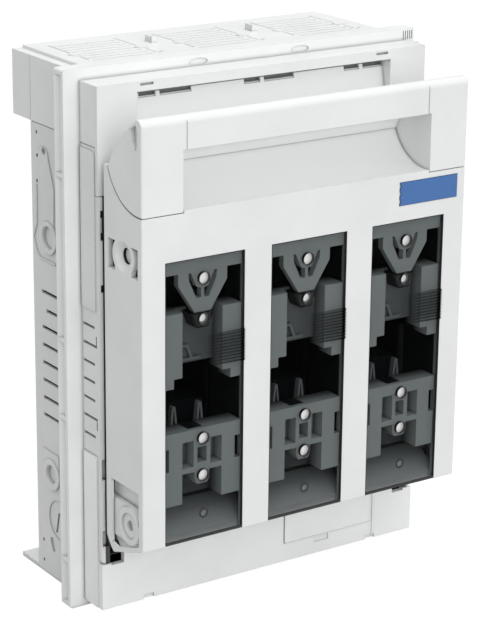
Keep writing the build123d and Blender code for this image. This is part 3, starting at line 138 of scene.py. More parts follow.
class Shader:
    """A node material with one Principled shader and a few helpers."""

    def __init__(self, name):
        self.material = bpy.data.materials.new(name)
        self.material.use_nodes = True
        self.tree = self.material.node_tree
        self.tree.nodes.clear()
        self.output = self.add("ShaderNodeOutputMaterial")
        self.body = self.add("ShaderNodeBsdfPrincipled")
        self.link(self.body.outputs["BSDF"], self.output.inputs["Surface"])
        self.place = self.add("ShaderNodeTexCoord").outputs["Object"]

    def add(self, kind, **values):
        node = self.tree.nodes.new(kind)
        for key, value in values.items():
            setattr(node, key, value)
        return node

    def link(self, start, end):
        self.tree.links.new(start, end)

    def noise(self, scale, detail=3.0, rough=0.55, stretch=None):
        """Noise in object space; scale is in features per metre."""
        node = self.add("ShaderNodeTexNoise")
        node.inputs["Scale"].default_value = scale
        node.inputs["Detail"].default_value = detail
        node.inputs["Roughness"].default_value = rough
        if stretch:
            mapping = self.add("ShaderNodeMapping")
            mapping.inputs["Scale"].default_value = stretch
            self.link(self.place, mapping.inputs["Vector"])
            self.link(mapping.outputs["Vector"], node.inputs["Vector"])
        else:
            self.link(self.place, node.inputs["Vector"])
        return node.outputs["Fac"]

    def spread(self, value, low, high, start=0.3, end=0.7):
        """Maps a value from between start and end to between low and high."""
        node = self.add("ShaderNodeMapRange")
        node.inputs["From Min"].default_value = start
        node.inputs["From Max"].default_value = end
        node.inputs["To Min"].default_value = low
        node.inputs["To Max"].default_value = high
        self.link(value, node.inputs["Value"])
        return node.outputs["Result"]

    def tones(self, value, first, second):
        """A colour between two tones."""
        node = self.add("ShaderNodeMix", data_type="RGBA")
        node.inputs["A"].default_value = (*first, 1)
        node.inputs["B"].default_value = (*second, 1)
        self.link(value, node.inputs["Factor"])
        return node.outputs["Result"]

    def mixed(self, share, first, tone):
        """A colour that turns to a fixed tone where share is 1."""
        node = self.add("ShaderNodeMix", data_type="RGBA")
        self.link(first, node.inputs["A"])
        node.inputs["B"].default_value = (*tone, 1)
        self.link(share, node.inputs["Factor"])
        return node.outputs["Result"]

    def painted_crevice_shade(self, tone, alone=False, depth=CREVICE_SHADE_DEPTH):
        """The same colour with painted shade, darker in narrow gaps and corners; alone leaves other
        pieces out, and depth is how dark the painted shade gets."""
        shade = self.add("ShaderNodeAmbientOcclusion", samples=6, only_local=alone)
        shade.inputs["Distance"].default_value = CREVICE_SHADE_REACH
        node = self.add("ShaderNodeMix", data_type="RGBA", blend_type="MULTIPLY")
        node.inputs["Factor"].default_value = depth
        self.link(tone, node.inputs["A"])
        self.link(self.spread(shade.outputs["AO"], 0, 1, 0.25, 1.0), node.inputs["B"])
        return node.outputs["Result"]

    def pole_side(self, start, end):
        """Rises from 0 to 1 across each window, between two places off the middle of its pole."""
        split = self.add("ShaderNodeSeparateXYZ")
        self.link(self.place, split.inputs["Vector"])
        wrap = self.add("ShaderNodeMath", operation="WRAP")
        self.link(split.outputs["X"], wrap.inputs[0])
        wrap.inputs[1].default_value = POLE_PITCH / 2 * MM
        wrap.inputs[2].default_value = -POLE_PITCH / 2 * MM
        return self.spread(wrap.outputs["Value"], 0, 1, start * MM, end * MM)

    def ramp_along(self, axis, start, end):
        """Rises from 0 to 1 between two places along an axis, in millimetres."""
        split = self.add("ShaderNodeSeparateXYZ")
        self.link(self.place, split.inputs["Vector"])
        return self.spread(split.outputs[axis], 0, 1, start * MM, end * MM)

    def product(self, *values):
        total = values[0]
        for value in values[1:]:
            node = self.add("ShaderNodeMath", operation="MULTIPLY")
            self.link(total, node.inputs[0])
            self.link(value, node.inputs[1])
            total = node.outputs["Value"]
        return total

    def bump(self, height, strength, distance, before=None):
        node = self.add("ShaderNodeBump")
        node.inputs["Strength"].default_value = strength
        node.inputs["Distance"].default_value = distance
        self.link(height, node.inputs["Height"])
        if before is not None:
            self.link(before, node.inputs["Normal"])
        return node.outputs["Normal"]

    def rounded_edges(self, radius):
        node = self.add("ShaderNodeBevel", samples=4)
        node.inputs["Radius"].default_value = radius
        return node.outputs["Normal"]


def moulded(name, colour, rough, grain, sheen=0.5, shade_mask=None, shade_tone=PAINTED_SHADE_TONE, alone=False,
            pale=None, depth=CREVICE_SHADE_DEPTH):
    """Moulded plastic: slight cloudiness, a fine spark-eroded grain, soft edges and painted shade in
    crevices. Where the shade mask gives 1 it takes a tone of painted shade, and where pale gives 1
    a tone of painted light."""
    shader = Shader(name)
    darker = tuple(c * CLOUD_DARKEST for c in colour)
    lighter = tuple(min(1.0, c * CLOUD_LIGHTEST) for c in colour)
    clouds = shader.spread(shader.noise(CLOUD_SCALE, 4), 0, 1)
    tone = shader.tones(clouds, darker, lighter)
    # Painted shade where the shade mask gives 1
    if shade_mask:
        tone = shader.mixed(shade_mask(shader), tone, shade_tone)
    # Painted light where the pale mask gives 1
    if pale:
        tone = shader.mixed(pale(shader), tone, PAINTED_LIGHT_TONE)
    shader.link(shader.painted_crevice_shade(tone, alone, depth), shader.body.inputs["Base Color"])
    gloss = shader.spread(shader.noise(GLOSS_SCALE, 3), rough - 0.05, rough + 0.06)
    shader.link(gloss, shader.body.inputs["Roughness"])
    normal = shader.rounded_edges(MOULDED_EDGE)
    normal = shader.bump(shader.noise(GRAIN_SCALE, 5, 0.6), grain, GRAIN_HEIGHT, normal)
    normal = shader.bump(shader.noise(WARP_SCALE, 2), 0.05, WARP_HEIGHT, normal)
    shader.link(normal, shader.body.inputs["Normal"])
    shader.body.inputs["Specular IOR Level"].default_value = sheen
    return shader.material


def plated(name, colour, rough, metallic=1.0):
    """Plated or bare metal with faint rolling marks."""
    shader = Shader(name)
    darker = tuple(c * ROLLING_DARKEST for c in colour)
    marks = shader.noise(ROLLING_SCALE, 4, 0.6, stretch=(1, 1, 0.12))
    shader.link(shader.tones(shader.spread(marks, 0, 1), darker, colour), shader.body.inputs["Base Color"])
    shader.link(shader.spread(marks, rough - 0.07, rough + 0.1), shader.body.inputs["Roughness"])
    normal = shader.rounded_edges(METAL_EDGE)
    shader.link(shader.bump(marks, 0.08, ROLLING_HEIGHT, normal), shader.body.inputs["Normal"])
    shader.body.inputs["Metallic"].default_value = metallic
    return shader.material


def clear(name, colour, rough, sheen, let_through, rib_shade_tone=None):
    """See-through plastic: it lets lamp light in, so what lies behind is lit. A rib shade
    tone paints the shade of fine ribs as dark lines that fade towards the left of each window."""
    shader = Shader(name)
    shader.body.inputs["Base Color"].default_value = (*colour, 1)
    # Painted shade of the grip's ribs, strongest on the right of each window
    if rib_shade_tone:
        ribs = shader.add("ShaderNodeTexWave", wave_type="BANDS", bands_direction="Z")
        ribs.inputs["Scale"].default_value = WAVE_LENGTH / (RIB_PITCH * MM)
        shader.link(shader.place, ribs.inputs["Vector"])
        across = shader.pole_side(0, RIB_SHADE_REACH)
        share = shader.product(across, shader.spread(ribs.outputs["Fac"], 0.55, 1.0, 0.1, 0.6))
        shader.link(shader.tones(share, colour, rib_shade_tone), shader.body.inputs["Base Color"])
    shader.body.inputs["Transmission Weight"].default_value = 1.0
    shader.body.inputs["IOR"].default_value = CLEAR_REFRACTION
    shader.body.inputs["Specular IOR Level"].default_value = sheen
    gloss = shader.spread(shader.noise(PANE_GLOSS_SCALE, 3), rough, rough + 0.03)
    shader.link(gloss, shader.body.inputs["Roughness"])
    warp = shader.bump(shader.noise(PANE_WARP_SCALE, 2), 0.03, PANE_WARP_HEIGHT)
    shader.link(warp, shader.body.inputs["Normal"])
    light = shader.add("ShaderNodeLightPath")
    through = shader.add("ShaderNodeBsdfTransparent")
    through.inputs["Color"].default_value = (*let_through, 1)
    either = shader.add("ShaderNodeMath", operation="MAXIMUM")
    shader.link(light.outputs["Is Shadow Ray"], either.inputs[0])
    shader.link(light.outputs["Is Diffuse Ray"], either.inputs[1])
    mix = shader.add("ShaderNodeMixShader")
    shader.link(either.outputs["Value"], mix.inputs["Fac"])
    shader.link(shader.body.outputs["BSDF"], mix.inputs[1])
    shader.link(through.outputs["BSDF"], mix.inputs[2])
    shader.link(mix.outputs["Shader"], shader.output.inputs["Surface"])
    return shader.material


# Places worked out from the frame, in millimetres; depths are in front of the mounting plane

POLE_NUMBERS = (1, 2, 3)
lid_low, lid_high = (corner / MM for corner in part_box("lid_frame"))
pane_low, pane_high = (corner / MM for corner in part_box("window_2"))
carrier_low, carrier_high = (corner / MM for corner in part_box("fuse_carrier_2"))
gripper_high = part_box("fuse_gripper_2")[1] / MM
latch_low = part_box("gripper_latch_2")[0] / MM
base_low, base_high = (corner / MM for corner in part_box("base_housing"))
shroud_low, shroud_high = (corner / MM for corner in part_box("middle_shroud"))
cover_low, cover_high = (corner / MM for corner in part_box("upper_front_cover"))
top_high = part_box("top_terminal_cover")[1] / MM

LID_FRONT = -lid_low.y
LID_SIDE_WALL = 7.4
PANE_FRONT = LID_FRONT - 0.65
PANE_BACK = -pane_high.y
CARRIER_FRONT = -carrier_low.y
LATCH_FRONT = -latch_low.y
RAIL_FRONT = LID_FRONT - 4.4
OPENING_HALF = 24.55
WINDOW_TOP = pane_high.z - 1.2
WINDOW_BOTTOM = pane_low.z
POLES = [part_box(f"fuse_carrier_{pole}")[0].x / MM - carrier_low.x for pole in POLE_NUMBERS]
FOOT_FRONT = 22.0
BASE_SKIN = 1.6
SHROUD_SKIN = 3.2
COVER_FRONT = -cover_low.y
SCOOP_HALF = lid_high.x - 25.0
SCOOP_BOTTOM = WINDOW_TOP + 20
SCOOP_TOP = WINDOW_TOP + 58
RECESS_HALF = cover_high.x - 24.0
RECESS_TOP = cover_high.z - 5.4
RECESS_WALL = COVER_FRONT - 7.9
DECK_TOP = top_high.z - 3.4


# Where painted shade or painted light changes a plastic's tone; all numbers are millimetres

def between(shader, axis, low, high, soft=0.2):
    """1 between two places along an axis."""
    return shader.product(shader.ramp_along(axis, low, low + soft),
                          shader.ramp_along(axis, high, high - soft))


def behind(shader, front, start, end):
    """0 at one distance behind a front and 1 at another; a negative distance lies ahead of it."""
    return shader.ramp_along("Y", -front + start, -front + end)


def lid_painted_shade(shader):
    """Painted shade in the hollow of the lid behind the windows, which stays dark."""
    return shader.product(behind(shader, LID_FRONT, 5, 15),
                          between(shader, "X", lid_low.x + LID_SIDE_WALL, lid_high.x - LID_SIDE_WALL),
                          shader.ramp_along("Z", WINDOW_BOTTOM + 2, WINDOW_BOTTOM + 24),
                          shader.ramp_along("Z", SCOOP_BOTTOM, SCOOP_BOTTOM - 3))


def scoop_painted_light(shader):
    """Painted light on the finger pocket between lid and handle, in a paler tone."""
    return shader.product(between(shader, "X", -SCOOP_HALF, SCOOP_HALF),
                          shader.ramp_along("Z", SCOOP_BOTTOM, SCOOP_BOTTOM + 4),
                          shader.ramp_along("Z", SCOOP_TOP, SCOOP_TOP - 2),
                          behind(shader, LID_FRONT, 0.3, 1.5))


def recess_painted_light(shader):
    """Painted light on the recess of the upper cover behind the handle, in a paler tone."""
    return shader.product(between(shader, "X", -RECESS_HALF, RECESS_HALF),
                          behind(shader, COVER_FRONT, -0.2, 0.3),
                          shader.ramp_along("Z", RECESS_TOP, RECESS_TOP - 0.4))


def carrier_painted_shade(shader):
    """Painted shade, darker with depth behind the front of the fuse carriers."""
    return behind(shader, CARRIER_FRONT, 3, 13)


def rail_painted_shade(shader):
    """Painted shade on the side rails behind their front edge, which stay dark."""
    return behind(shader, RAIL_FRONT, 0.2, 1.0)


def base_painted_shade(shader):
    """Painted shade in the chambers of the base, in front of its feet and within its outer skin."""
    return shader.product(behind(shader, FOOT_FRONT, 0, -0.4),
                          between(shader, "X", -base_high.x + BASE_SKIN, base_high.x - BASE_SKIN),
                          shader.ramp_along("Z", base_low.z + 1, base_low.z + 2))


def shroud_painted_shade(shader):
    """Painted shade behind the lid and within the side walls of the shroud."""
    return shader.product(behind(shader, COVER_FRONT, -1.3, -0.9),
                          between(shader, "X", shroud_low.x + SHROUD_SKIN, shroud_high.x - SHROUD_SKIN))


# The object's materials

housing = moulded("housing", (0.79, 0.80, 0.80), 0.42, 0.10, shade_mask=base_painted_shade)
shroud = moulded("shroud", (0.79, 0.80, 0.80), 0.42, 0.10, shade_mask=shroud_painted_shade,
                 shade_tone=SHROUD_PAINTED_SHADE_TONE)
lid_plastic = moulded("lid_plastic", (0.81, 0.82, 0.82), 0.36, 0.08, shade_mask=lid_painted_shade, pale=scoop_painted_light)
handle_plastic = moulded("handle_plastic", (0.82, 0.83, 0.83), 0.33, 0.07, pale=scoop_painted_light, depth=0.2)
cover_plastic = moulded("cover_plastic", (0.80, 0.81, 0.81), 0.40, 0.10)
# Lighter copies of the housing plastic: painted light on the collar and on the lower cover
collar_painted_light_plastic = moulded("collar_painted_light_plastic", (0.88, 0.89, 0.89), 0.40, 0.10)
lower_painted_light_plastic = moulded("lower_painted_light_plastic", (0.93, 0.94, 0.94), 0.40, 0.10, depth=0.4)
top_plastic = moulded("top_plastic", (0.87, 0.88, 0.88), 0.40, 0.10, depth=0.15)
upper_plastic = moulded("upper_plastic", (0.80, 0.81, 0.81), 0.40, 0.10, pale=recess_painted_light)
carrier = moulded("carrier", (0.83, 0.85, 0.85), 0.42, 0.12, shade_mask=carrier_painted_shade, alone=True)
rail_plastic = moulded("rail_plastic", (0.62, 0.64, 0.64), 0.42, 0.12, shade_mask=rail_painted_shade)
gripper = moulded("gripper", (0.84, 0.86, 0.86), 0.40, 0.10, alone=True)
# A darker copy of the carrier plastic: painted shade on the guide horns
horn_painted_shade_plastic = moulded("horn_painted_shade_plastic", (0.55, 0.56, 0.56), 0.42, 0.10, alone=True)
dark_plastic = moulded("dark_plastic", (0.03, 0.033, 0.036), 0.55, 0.15, sheen=0.15)
latch_plastic = moulded("latch_plastic", (0.012, 0.012, 0.013), 0.45, 0.12)
# A grey for painted light on the latch fronts and painted shade in the finger recess
painted_light_and_shade_grey = moulded("painted_light_and_shade_grey", (0.20, 0.21, 0.21), 0.45, 0.10)
label_card = moulded("label_card", (0.05, 0.155, 0.41), 0.38, 0.05)
plate_cover = moulded("plate_cover", (0.94, 0.95, 0.95), 0.14, 0.01)
smoked = clear("smoked", (0.54, 0.556, 0.558), 0.02, 0.12, (0.56, 0.575, 0.577))
smoked_grip = clear("smoked_grip", (0.52, 0.535, 0.537), 0.05, 0.2, (0.34, 0.35, 0.35),
                    rib_shade_tone=(0.06, 0.063, 0.063))
probe_contact = plated("probe_contact", (0.93, 0.93, 0.92), 0.38, 0.35)
silver = plated("silver", (0.78, 0.77, 0.74), 0.32)
zinc = plated("zinc", (0.62, 0.63, 0.64), 0.34)
spring = plated("spring", (0.42, 0.42, 0.42), 0.30)

finishes = {
    "base_housing": housing, "collar_frame": collar_painted_light_plastic, "middle_shroud": shroud,
    "upper_front_cover": upper_plastic, "lower_front_cover": lower_painted_light_plastic,
    "top_terminal_cover": top_plastic, "rating_plate_window": plate_cover,
    "lid_frame": lid_plastic, "handle": handle_plastic, "label_insert": label_card,
    "terminal_bolts": zinc, "terminal_washers": zinc, "terminal_nuts": zinc, "bar_screws": zinc,
    "hinge_pins": zinc, "ring_springs": spring, "arc_plates": spring,
}
for pole in POLE_NUMBERS:
    finishes[f"upper_contact_{pole}"] = silver
    finishes[f"lower_contact_{pole}"] = silver
    finishes[f"upper_contact_cover_{pole}"] = dark_plastic
    finishes[f"lower_contact_cover_{pole}"] = dark_plastic
    finishes[f"fuse_carrier_{pole}"] = carrier
    finishes[f"fuse_gripper_{pole}"] = gripper
    finishes[f"gripper_latch_{pole}"] = latch_plastic
    finishes[f"window_{pole}"] = smoked


def dress(obj, *materials):
    """Gives an object these materials, whatever slots it came with."""
    obj.data.materials.clear()
    for material in materials:
        obj.data.materials.append(material)


for name, obj in nodes.items():
    dress(obj, finishes[name])


# Windows: the bar along the bottom edge is black and the thumb grip is darker

FOOT_BAR_TOP = WINDOW_BOTTOM + 1.7
GRIP_HIGH = WINDOW_TOP - 43.0
GRIP_LOW = GRIP_HIGH - 17.6
PROUD_BY = 0.01


def finish_window(window):
    """Sets the material of each face by its height, for the faces that stand proud."""
    dress(window, smoked, latch_plastic, smoked_grip)
    for face in window.data.polygons:
        proud = -face.center.y / MM > PANE_FRONT + PROUD_BY
        height = face.center.z / MM
        if proud and height < FOOT_BAR_TOP:
            face.material_index = 1
        elif proud and GRIP_LOW < height < GRIP_HIGH:
            face.material_index = 2
        else:
            face.material_index = 0


for pole in POLE_NUMBERS:
    finish_window(nodes[f"window_{pole}"])


# Added meshes

CIRCLE_SIDES = 32


def circle(middle_across, middle_up, radius):
    """Points of a circle round a middle."""
    turns = [2 * pi * i / CIRCLE_SIDES for i in range(CIRCLE_SIDES)]
    return [(middle_across + radius * cos(t), middle_up + radius * sin(t)) for t in turns]


class Mould:
    """Gathers boxes and prisms into one mesh, from x, height and depth in millimetres."""

    def __init__(self, pole_x=0.0):
        self.mesh = bmesh.new()
        self.pole_x = pole_x

    def corner(self, x, height, depth):
        return self.mesh.verts.new(((self.pole_x + x) * MM, -depth * MM, height * MM))

    def skin(self, back, front):
        """Closes two rings of corners into a prism."""
        count = len(back)
        self.mesh.faces.new(front)
        self.mesh.faces.new(list(reversed(back)))
        for i in range(count):
            j = (i + 1) % count
            self.mesh.faces.new((back[i], back[j], front[j], front[i]))

    def prism(self, outline, back, front):
        """A front-view outline of x and height, between two depths."""
        self.skin([self.corner(x, height, back) for x, height in outline],
                  [self.corner(x, height, front) for x, height in outline])

    def box(self, x_low, x_high, low, high, back, front):
        x_low, x_high = sorted((x_low, x_high))
        self.prism([(x_low, low), (x_high, low), (x_high, high), (x_low, high)], back, front)

    def bar(self, profile, x_low, x_high):
        """A side-view outline of depth and height, run along X."""
        self.skin([self.corner(x_low, height, depth) for depth, height in profile],
                  [self.corner(x_high, height, depth) for depth, height in profile])

    def disc(self, x, height, radius, back, front):
        self.prism(circle(x, height, radius), back, front)

    def ring(self, x, height, outer, inner, back, front):
        """A tube with its axis towards the front."""
        rings = [[self.corner(across, up, depth) for across, up in circle(x, height, radius)]
                 for radius, depth in ((outer, back), (outer, front), (inner, front), (inner, back))]
        for ring, following in zip(rings, rings[1:] + rings[:1]):
            for i in range(CIRCLE_SIDES):
                j = (i + 1) % CIRCLE_SIDES
                self.mesh.faces.new((ring[i], ring[j], following[j], following[i]))

    def made(self, name, material, body, slot_name):
        """Turns what was gathered into an object that rides on a body."""
        bmesh.ops.recalc_face_normals(self.mesh, faces=self.mesh.faces)
        data = bpy.data.meshes.new(name)
        self.mesh.to_mesh(data)
        self.mesh.free()
        obj = bpy.data.objects.new(name, data)
        bpy.context.scene.collection.objects.link(obj)
        dress(obj, material)
        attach(obj, body)
        return obj


def added(shape, name, material, body, slot_name, pole_x=0.0):
    """An added piece, whose shape function fills a fresh mould."""
    mould = Mould(pole_x)
    shape(mould)
    return mould.made(name, material, body, slot_name)


# Fuse carriers, with the recessed wall and the legs that show behind the windows

BAND_BOTTOM = gripper_high.z
PILLAR_INNER = 12.4
PILLAR_TOP = WINDOW_TOP - 29.3
PILLAR_BOTTOM = PILLAR_TOP - 35.6
STEP = 5.2
CARRIER_HALF = 24.25
RAIL_INNER = 24.85
RAIL_OUTER = carrier_high.x
RAIL_TIE = 0.2
WEB_BACK = -carrier_high.y + 4
WEB_FRONT = WEB_BACK + 4
BLOCK_TOP = WINDOW_BOTTOM + 61.8
BLOCK_BOTTOM = carrier_low.z
BLOCK_FRONT_FALL = 1.0
BLOCK_BACK_STEP = 7.0
BLOCK_BACK_SLOPE = 0.5
PANEL_SETBACK = 9.0
POCKET_SETBACK = 8.0
LEG_SETBACK = 12.0
PANEL_THICKNESS = 2.0
PANEL_LIFT = 4.5
HOOK_LEFT = -11.0
HOOK_SHOULDER = -4.2
HOOK_INNER_SHOULDER = -5.4
HOOK_KNEE = -1.2
HOOK_INNER_KNEE = -3.0
HOOK_RIGHT = 3.5
HOOK_TOP = PILLAR_BOTTOM + 15.0
HOOK_TOP_BAND = 1.4
HOOK_FOOT = PILLAR_BOTTOM + 6.0
HOOK_FOOT_BAND = 1.5
HOOK_RISE = 1.6
HORN_PLACE = 8.2
HORN_FOOT_OUTER = 2.7
HORN_FOOT_INNER = 1.3
HORN_TIP_WIDTH = 0.9
HORN_HEIGHT = 8.4
HORN_ROOT = 6.0
HORN_FRONT = CARRIER_FRONT - 15
HORN_THICKNESS = 3.5
POCKET_TOP = BLOCK_TOP - 6.4
POCKET_BOTTOM = BLOCK_TOP - 21.2
BAR_BOTTOM = BLOCK_TOP - 24.2
MULLION_HALF = 2.9
MULLION_SIDE = 5.3
LEG_OUTER = 20.7
SIDE_WINDOW_TOP = BLOCK_TOP - 8.5
MULLION_NOTCH = (BLOCK_TOP - 19.3, BLOCK_TOP - 10.6)
PROBE_BOSS_HALF = 4.6
PROBE_BOSS_FOOT_HALF = 3.2
PROBE_BOSS_SIDE = BLOCK_TOP - 29.0
PROBE_BOSS_FOOT = BLOCK_TOP - 31.4
# A black sheet of painted shade on the block between the horns
SHADE_SHEET_LEFT = -7.5
SHADE_SHEET_RIGHT = 1.5
SHADE_SHEET_DEPTHS = (CARRIER_FRONT - 11.5, CARRIER_FRONT - 2.5)
SURFACE_LIFT = 0.1


def hook_outline():
    """A band on the recessed wall: along its top, down a leaning side and along its foot."""
    under_top = HOOK_TOP - HOOK_TOP_BAND
    over_foot = HOOK_FOOT + HOOK_FOOT_BAND
    return [(HOOK_LEFT, HOOK_TOP), (HOOK_SHOULDER, HOOK_TOP), (HOOK_KNEE, over_foot),
            (HOOK_RIGHT, over_foot), (HOOK_RIGHT, HOOK_FOOT), (HOOK_LEFT, HOOK_FOOT),
            (HOOK_LEFT, over_foot), (HOOK_INNER_KNEE, over_foot), (HOOK_INNER_SHOULDER, under_top),
            (HOOK_LEFT, under_top)]


def upper_carrier(mould):
    """Band, the web behind it, stepped pillars, and the recessed wall with its raised hook."""
    mould.box(-CARRIER_HALF, CARRIER_HALF, BAND_BOTTOM, carrier_high.z, WEB_BACK, CARRIER_FRONT)
    mould.box(-RAIL_INNER, RAIL_INNER, PILLAR_BOTTOM, carrier_high.z, WEB_BACK, WEB_FRONT)
    for side in (-1, 1):
        mould.box(side * PILLAR_INNER, side * CARRIER_HALF, PILLAR_BOTTOM, PILLAR_TOP, WEB_BACK,
                  CARRIER_FRONT)
        mould.box(side * (PILLAR_INNER + STEP), side * CARRIER_HALF, PILLAR_BOTTOM - STEP,
                  PILLAR_BOTTOM, WEB_BACK, CARRIER_FRONT)
    wall_front = CARRIER_FRONT - PANEL_SETBACK
    mould.box(-PILLAR_INNER, PILLAR_INNER, PILLAR_BOTTOM + PANEL_LIFT, PILLAR_TOP,
              wall_front - PANEL_THICKNESS, wall_front)
    mould.prism(hook_outline(), wall_front, wall_front + HOOK_RISE)


def carrier_rails(mould):
    """Side rails, and the strips that tie the carrier to them."""
    for side in (-1, 1):
        mould.box(side * RAIL_INNER, side * RAIL_OUTER, BLOCK_BOTTOM, carrier_high.z, -carrier_high.y,
                  RAIL_FRONT)
        for low, high in ((BLOCK_BOTTOM, BLOCK_TOP), (PILLAR_BOTTOM - STEP, PILLAR_TOP)):
            mould.box(side * (CARRIER_HALF - RAIL_TIE), side * (RAIL_INNER + RAIL_TIE), low, high,
                      WEB_BACK, RAIL_FRONT)


def horns(mould):
    """A pair of guide horns behind the block, each an upright with a slot in it."""
    foot = BLOCK_TOP - HORN_ROOT
    tip = BLOCK_TOP + HORN_HEIGHT
    for side in (-1, 1):
        middle = side * HORN_PLACE
        for lean in (-1, 1):
            mould.prism([(middle + lean * HORN_FOOT_OUTER, foot), (middle + lean * HORN_FOOT_INNER, foot),
                         (middle, tip), (middle + lean * HORN_TIP_WIDTH, tip)],
                        HORN_FRONT - HORN_THICKNESS, HORN_FRONT)


def lower_carrier(mould):
    """Block with pockets and a mullion between them, two legs, and the web behind."""
    front = CARRIER_FRONT
    floor = front - POCKET_SETBACK
    leg_front = front - LEG_SETBACK
    step = BLOCK_TOP - BLOCK_BACK_STEP
    mould.bar([(WEB_BACK, BAR_BOTTOM), (floor, BAR_BOTTOM), (floor, BLOCK_TOP - BLOCK_FRONT_FALL),
               (leg_front, BLOCK_TOP), (leg_front - BLOCK_BACK_SLOPE, step), (WEB_BACK, step)],
              -CARRIER_HALF, CARRIER_HALF)
    mould.box(-CARRIER_HALF, CARRIER_HALF, POCKET_TOP, BLOCK_TOP, leg_front, front)
    mould.box(-PILLAR_INNER, PILLAR_INNER, BAR_BOTTOM, POCKET_BOTTOM, floor, front)
    mould.box(-PILLAR_INNER, PILLAR_INNER, BLOCK_BOTTOM, BAR_BOTTOM, WEB_BACK, leg_front)
    mould.box(-MULLION_HALF, MULLION_HALF, MULLION_NOTCH[1], POCKET_TOP, floor, front)
    mould.box(-MULLION_HALF, MULLION_HALF, POCKET_BOTTOM, MULLION_NOTCH[0], floor, front)
    for side in (-1, 1):
        mould.box(side * MULLION_HALF, side * MULLION_SIDE, POCKET_BOTTOM, POCKET_TOP, floor, front)
        mould.box(side * PILLAR_INNER, side * LEG_OUTER, BLOCK_BOTTOM, POCKET_TOP, WEB_BACK, front)
        mould.box(side * LEG_OUTER, side * CARRIER_HALF, SIDE_WINDOW_TOP, POCKET_TOP, floor, front)
        mould.box(side * LEG_OUTER, side * CARRIER_HALF, BLOCK_BOTTOM, POCKET_BOTTOM, WEB_BACK, front)
    # Boss round the lower probe contact
    mould.box(-PROBE_BOSS_HALF, PROBE_BOSS_HALF, PROBE_BOSS_SIDE, BAR_BOTTOM, leg_front, front)
    mould.prism([(-PROBE_BOSS_HALF, PROBE_BOSS_SIDE), (-PROBE_BOSS_FOOT_HALF, PROBE_BOSS_FOOT),
                 (PROBE_BOSS_FOOT_HALF, PROBE_BOSS_FOOT), (PROBE_BOSS_HALF, PROBE_BOSS_SIDE)],
                leg_front, front)


def whole_carrier(mould):
    """Both halves of a carrier, in one mesh."""
    upper_carrier(mould)
    lower_carrier(mould)


def block_shade_sheet(mould):
    """Painted shade: a black sheet on the block between the horns, for the dark hollow there."""
    mould.box(SHADE_SHEET_LEFT, SHADE_SHEET_RIGHT, BLOCK_TOP, BLOCK_TOP + SURFACE_LIFT, *SHADE_SHEET_DEPTHS)


for pole, pole_x in zip(POLE_NUMBERS, POLES):
    shown_carrier = added(whole_carrier, f"carrier_shape_{pole}", carrier, "lid", "carrier_plastic",
                          pole_x)
    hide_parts(f"fuse_carrier_{pole}")
    added(carrier_rails, f"carrier_rails_{pole}", rail_plastic, "lid", "carrier_plastic", pole_x)
    added(horns, f"guide_horns_{pole}", horn_painted_shade_plastic, "lid", "carrier_plastic", pole_x)
    added(block_shade_sheet, f"block_shade_sheet_{pole}", latch_plastic, "lid", "latch_plastic", pole_x)


# What shows in and round the windows

PROBE_HEIGHTS = (WINDOW_TOP - 11.9, WINDOW_TOP - 34.0, WINDOW_BOTTOM + 56.4, WINDOW_BOTTOM + 35.5)
LATCH_PROBE = PROBE_HEIGHTS[1]
SMALL_PROBE_HEIGHT = WINDOW_BOTTOM + 13.8
PROBE_RADIUS = 3.3
LATCH_PROBE_RADIUS = 2.1
PROBE_RISE = 0.15
HOLE_RADIUS = 3.6
# Rings of painted shade in the probe holes
SHADE_RING_INNER = 3.2
SMALL_SHADE_RING = (2.9, 1.7)
# Painted shadow lines round the openings
SHADOW_LINE_WIDTH = 0.5
SHADOW_LINE_BACK = PANE_FRONT + 0.06
SHADOW_LINE_FRONT = LID_FRONT - 0.15
LATCH_FACE_BOTTOM = latch_low.z + 1.1
LATCH_FACE_TOP = latch_low.z + 7.5
LATCH_FACE_HALF = 5.6
LATCH_FACE_FOOT_HALF = 3.2


def probe_contacts(mould):
    """Bright contacts behind the probe holes, on the carrier and on the latch."""
    for height in PROBE_HEIGHTS:
        at_latch = height == LATCH_PROBE
        back = LATCH_FRONT if at_latch else CARRIER_FRONT
        radius = LATCH_PROBE_RADIUS if at_latch else PROBE_RADIUS
        mould.disc(0, height, radius, back - SURFACE_LIFT, back + PROBE_RISE)


def hole_shade_rings(mould):
    """Painted shade: dark rings in the probe holes and round the small hole, where their walls look dark.
    """
    for height in PROBE_HEIGHTS:
        mould.ring(0, height, HOLE_RADIUS, SHADE_RING_INNER, PANE_BACK, PANE_FRONT + SURFACE_LIFT / 2)
    mould.ring(0, SMALL_PROBE_HEIGHT, *SMALL_SHADE_RING, PANE_FRONT, PANE_FRONT + SURFACE_LIFT)


def opening_shadow_line(mould):
    """Painted shadow in the gap: dark lines along the top and both sides of an opening,
    narrower on the right.
    """
    mould.box(-OPENING_HALF, OPENING_HALF, WINDOW_TOP - SHADOW_LINE_WIDTH, WINDOW_TOP, SHADOW_LINE_BACK, SHADOW_LINE_FRONT)
    for side, width in ((-1, SHADOW_LINE_WIDTH), (1, OPENING_HALF - CARRIER_HALF)):
        mould.box(side * (OPENING_HALF - width), side * OPENING_HALF, FOOT_BAR_TOP,
                  WINDOW_TOP - SHADOW_LINE_WIDTH, SHADOW_LINE_BACK, SHADOW_LINE_FRONT)


def latch_painted_light(mould):
    """Painted light: the face of a latch, lighter than the rest of it where light falls on it."""
    mould.prism([(-LATCH_FACE_HALF, LATCH_FACE_TOP), (-LATCH_FACE_FOOT_HALF, LATCH_FACE_BOTTOM),
                 (LATCH_FACE_FOOT_HALF, LATCH_FACE_BOTTOM), (LATCH_FACE_HALF, LATCH_FACE_TOP)],
                LATCH_FRONT, LATCH_FRONT + SURFACE_LIFT)


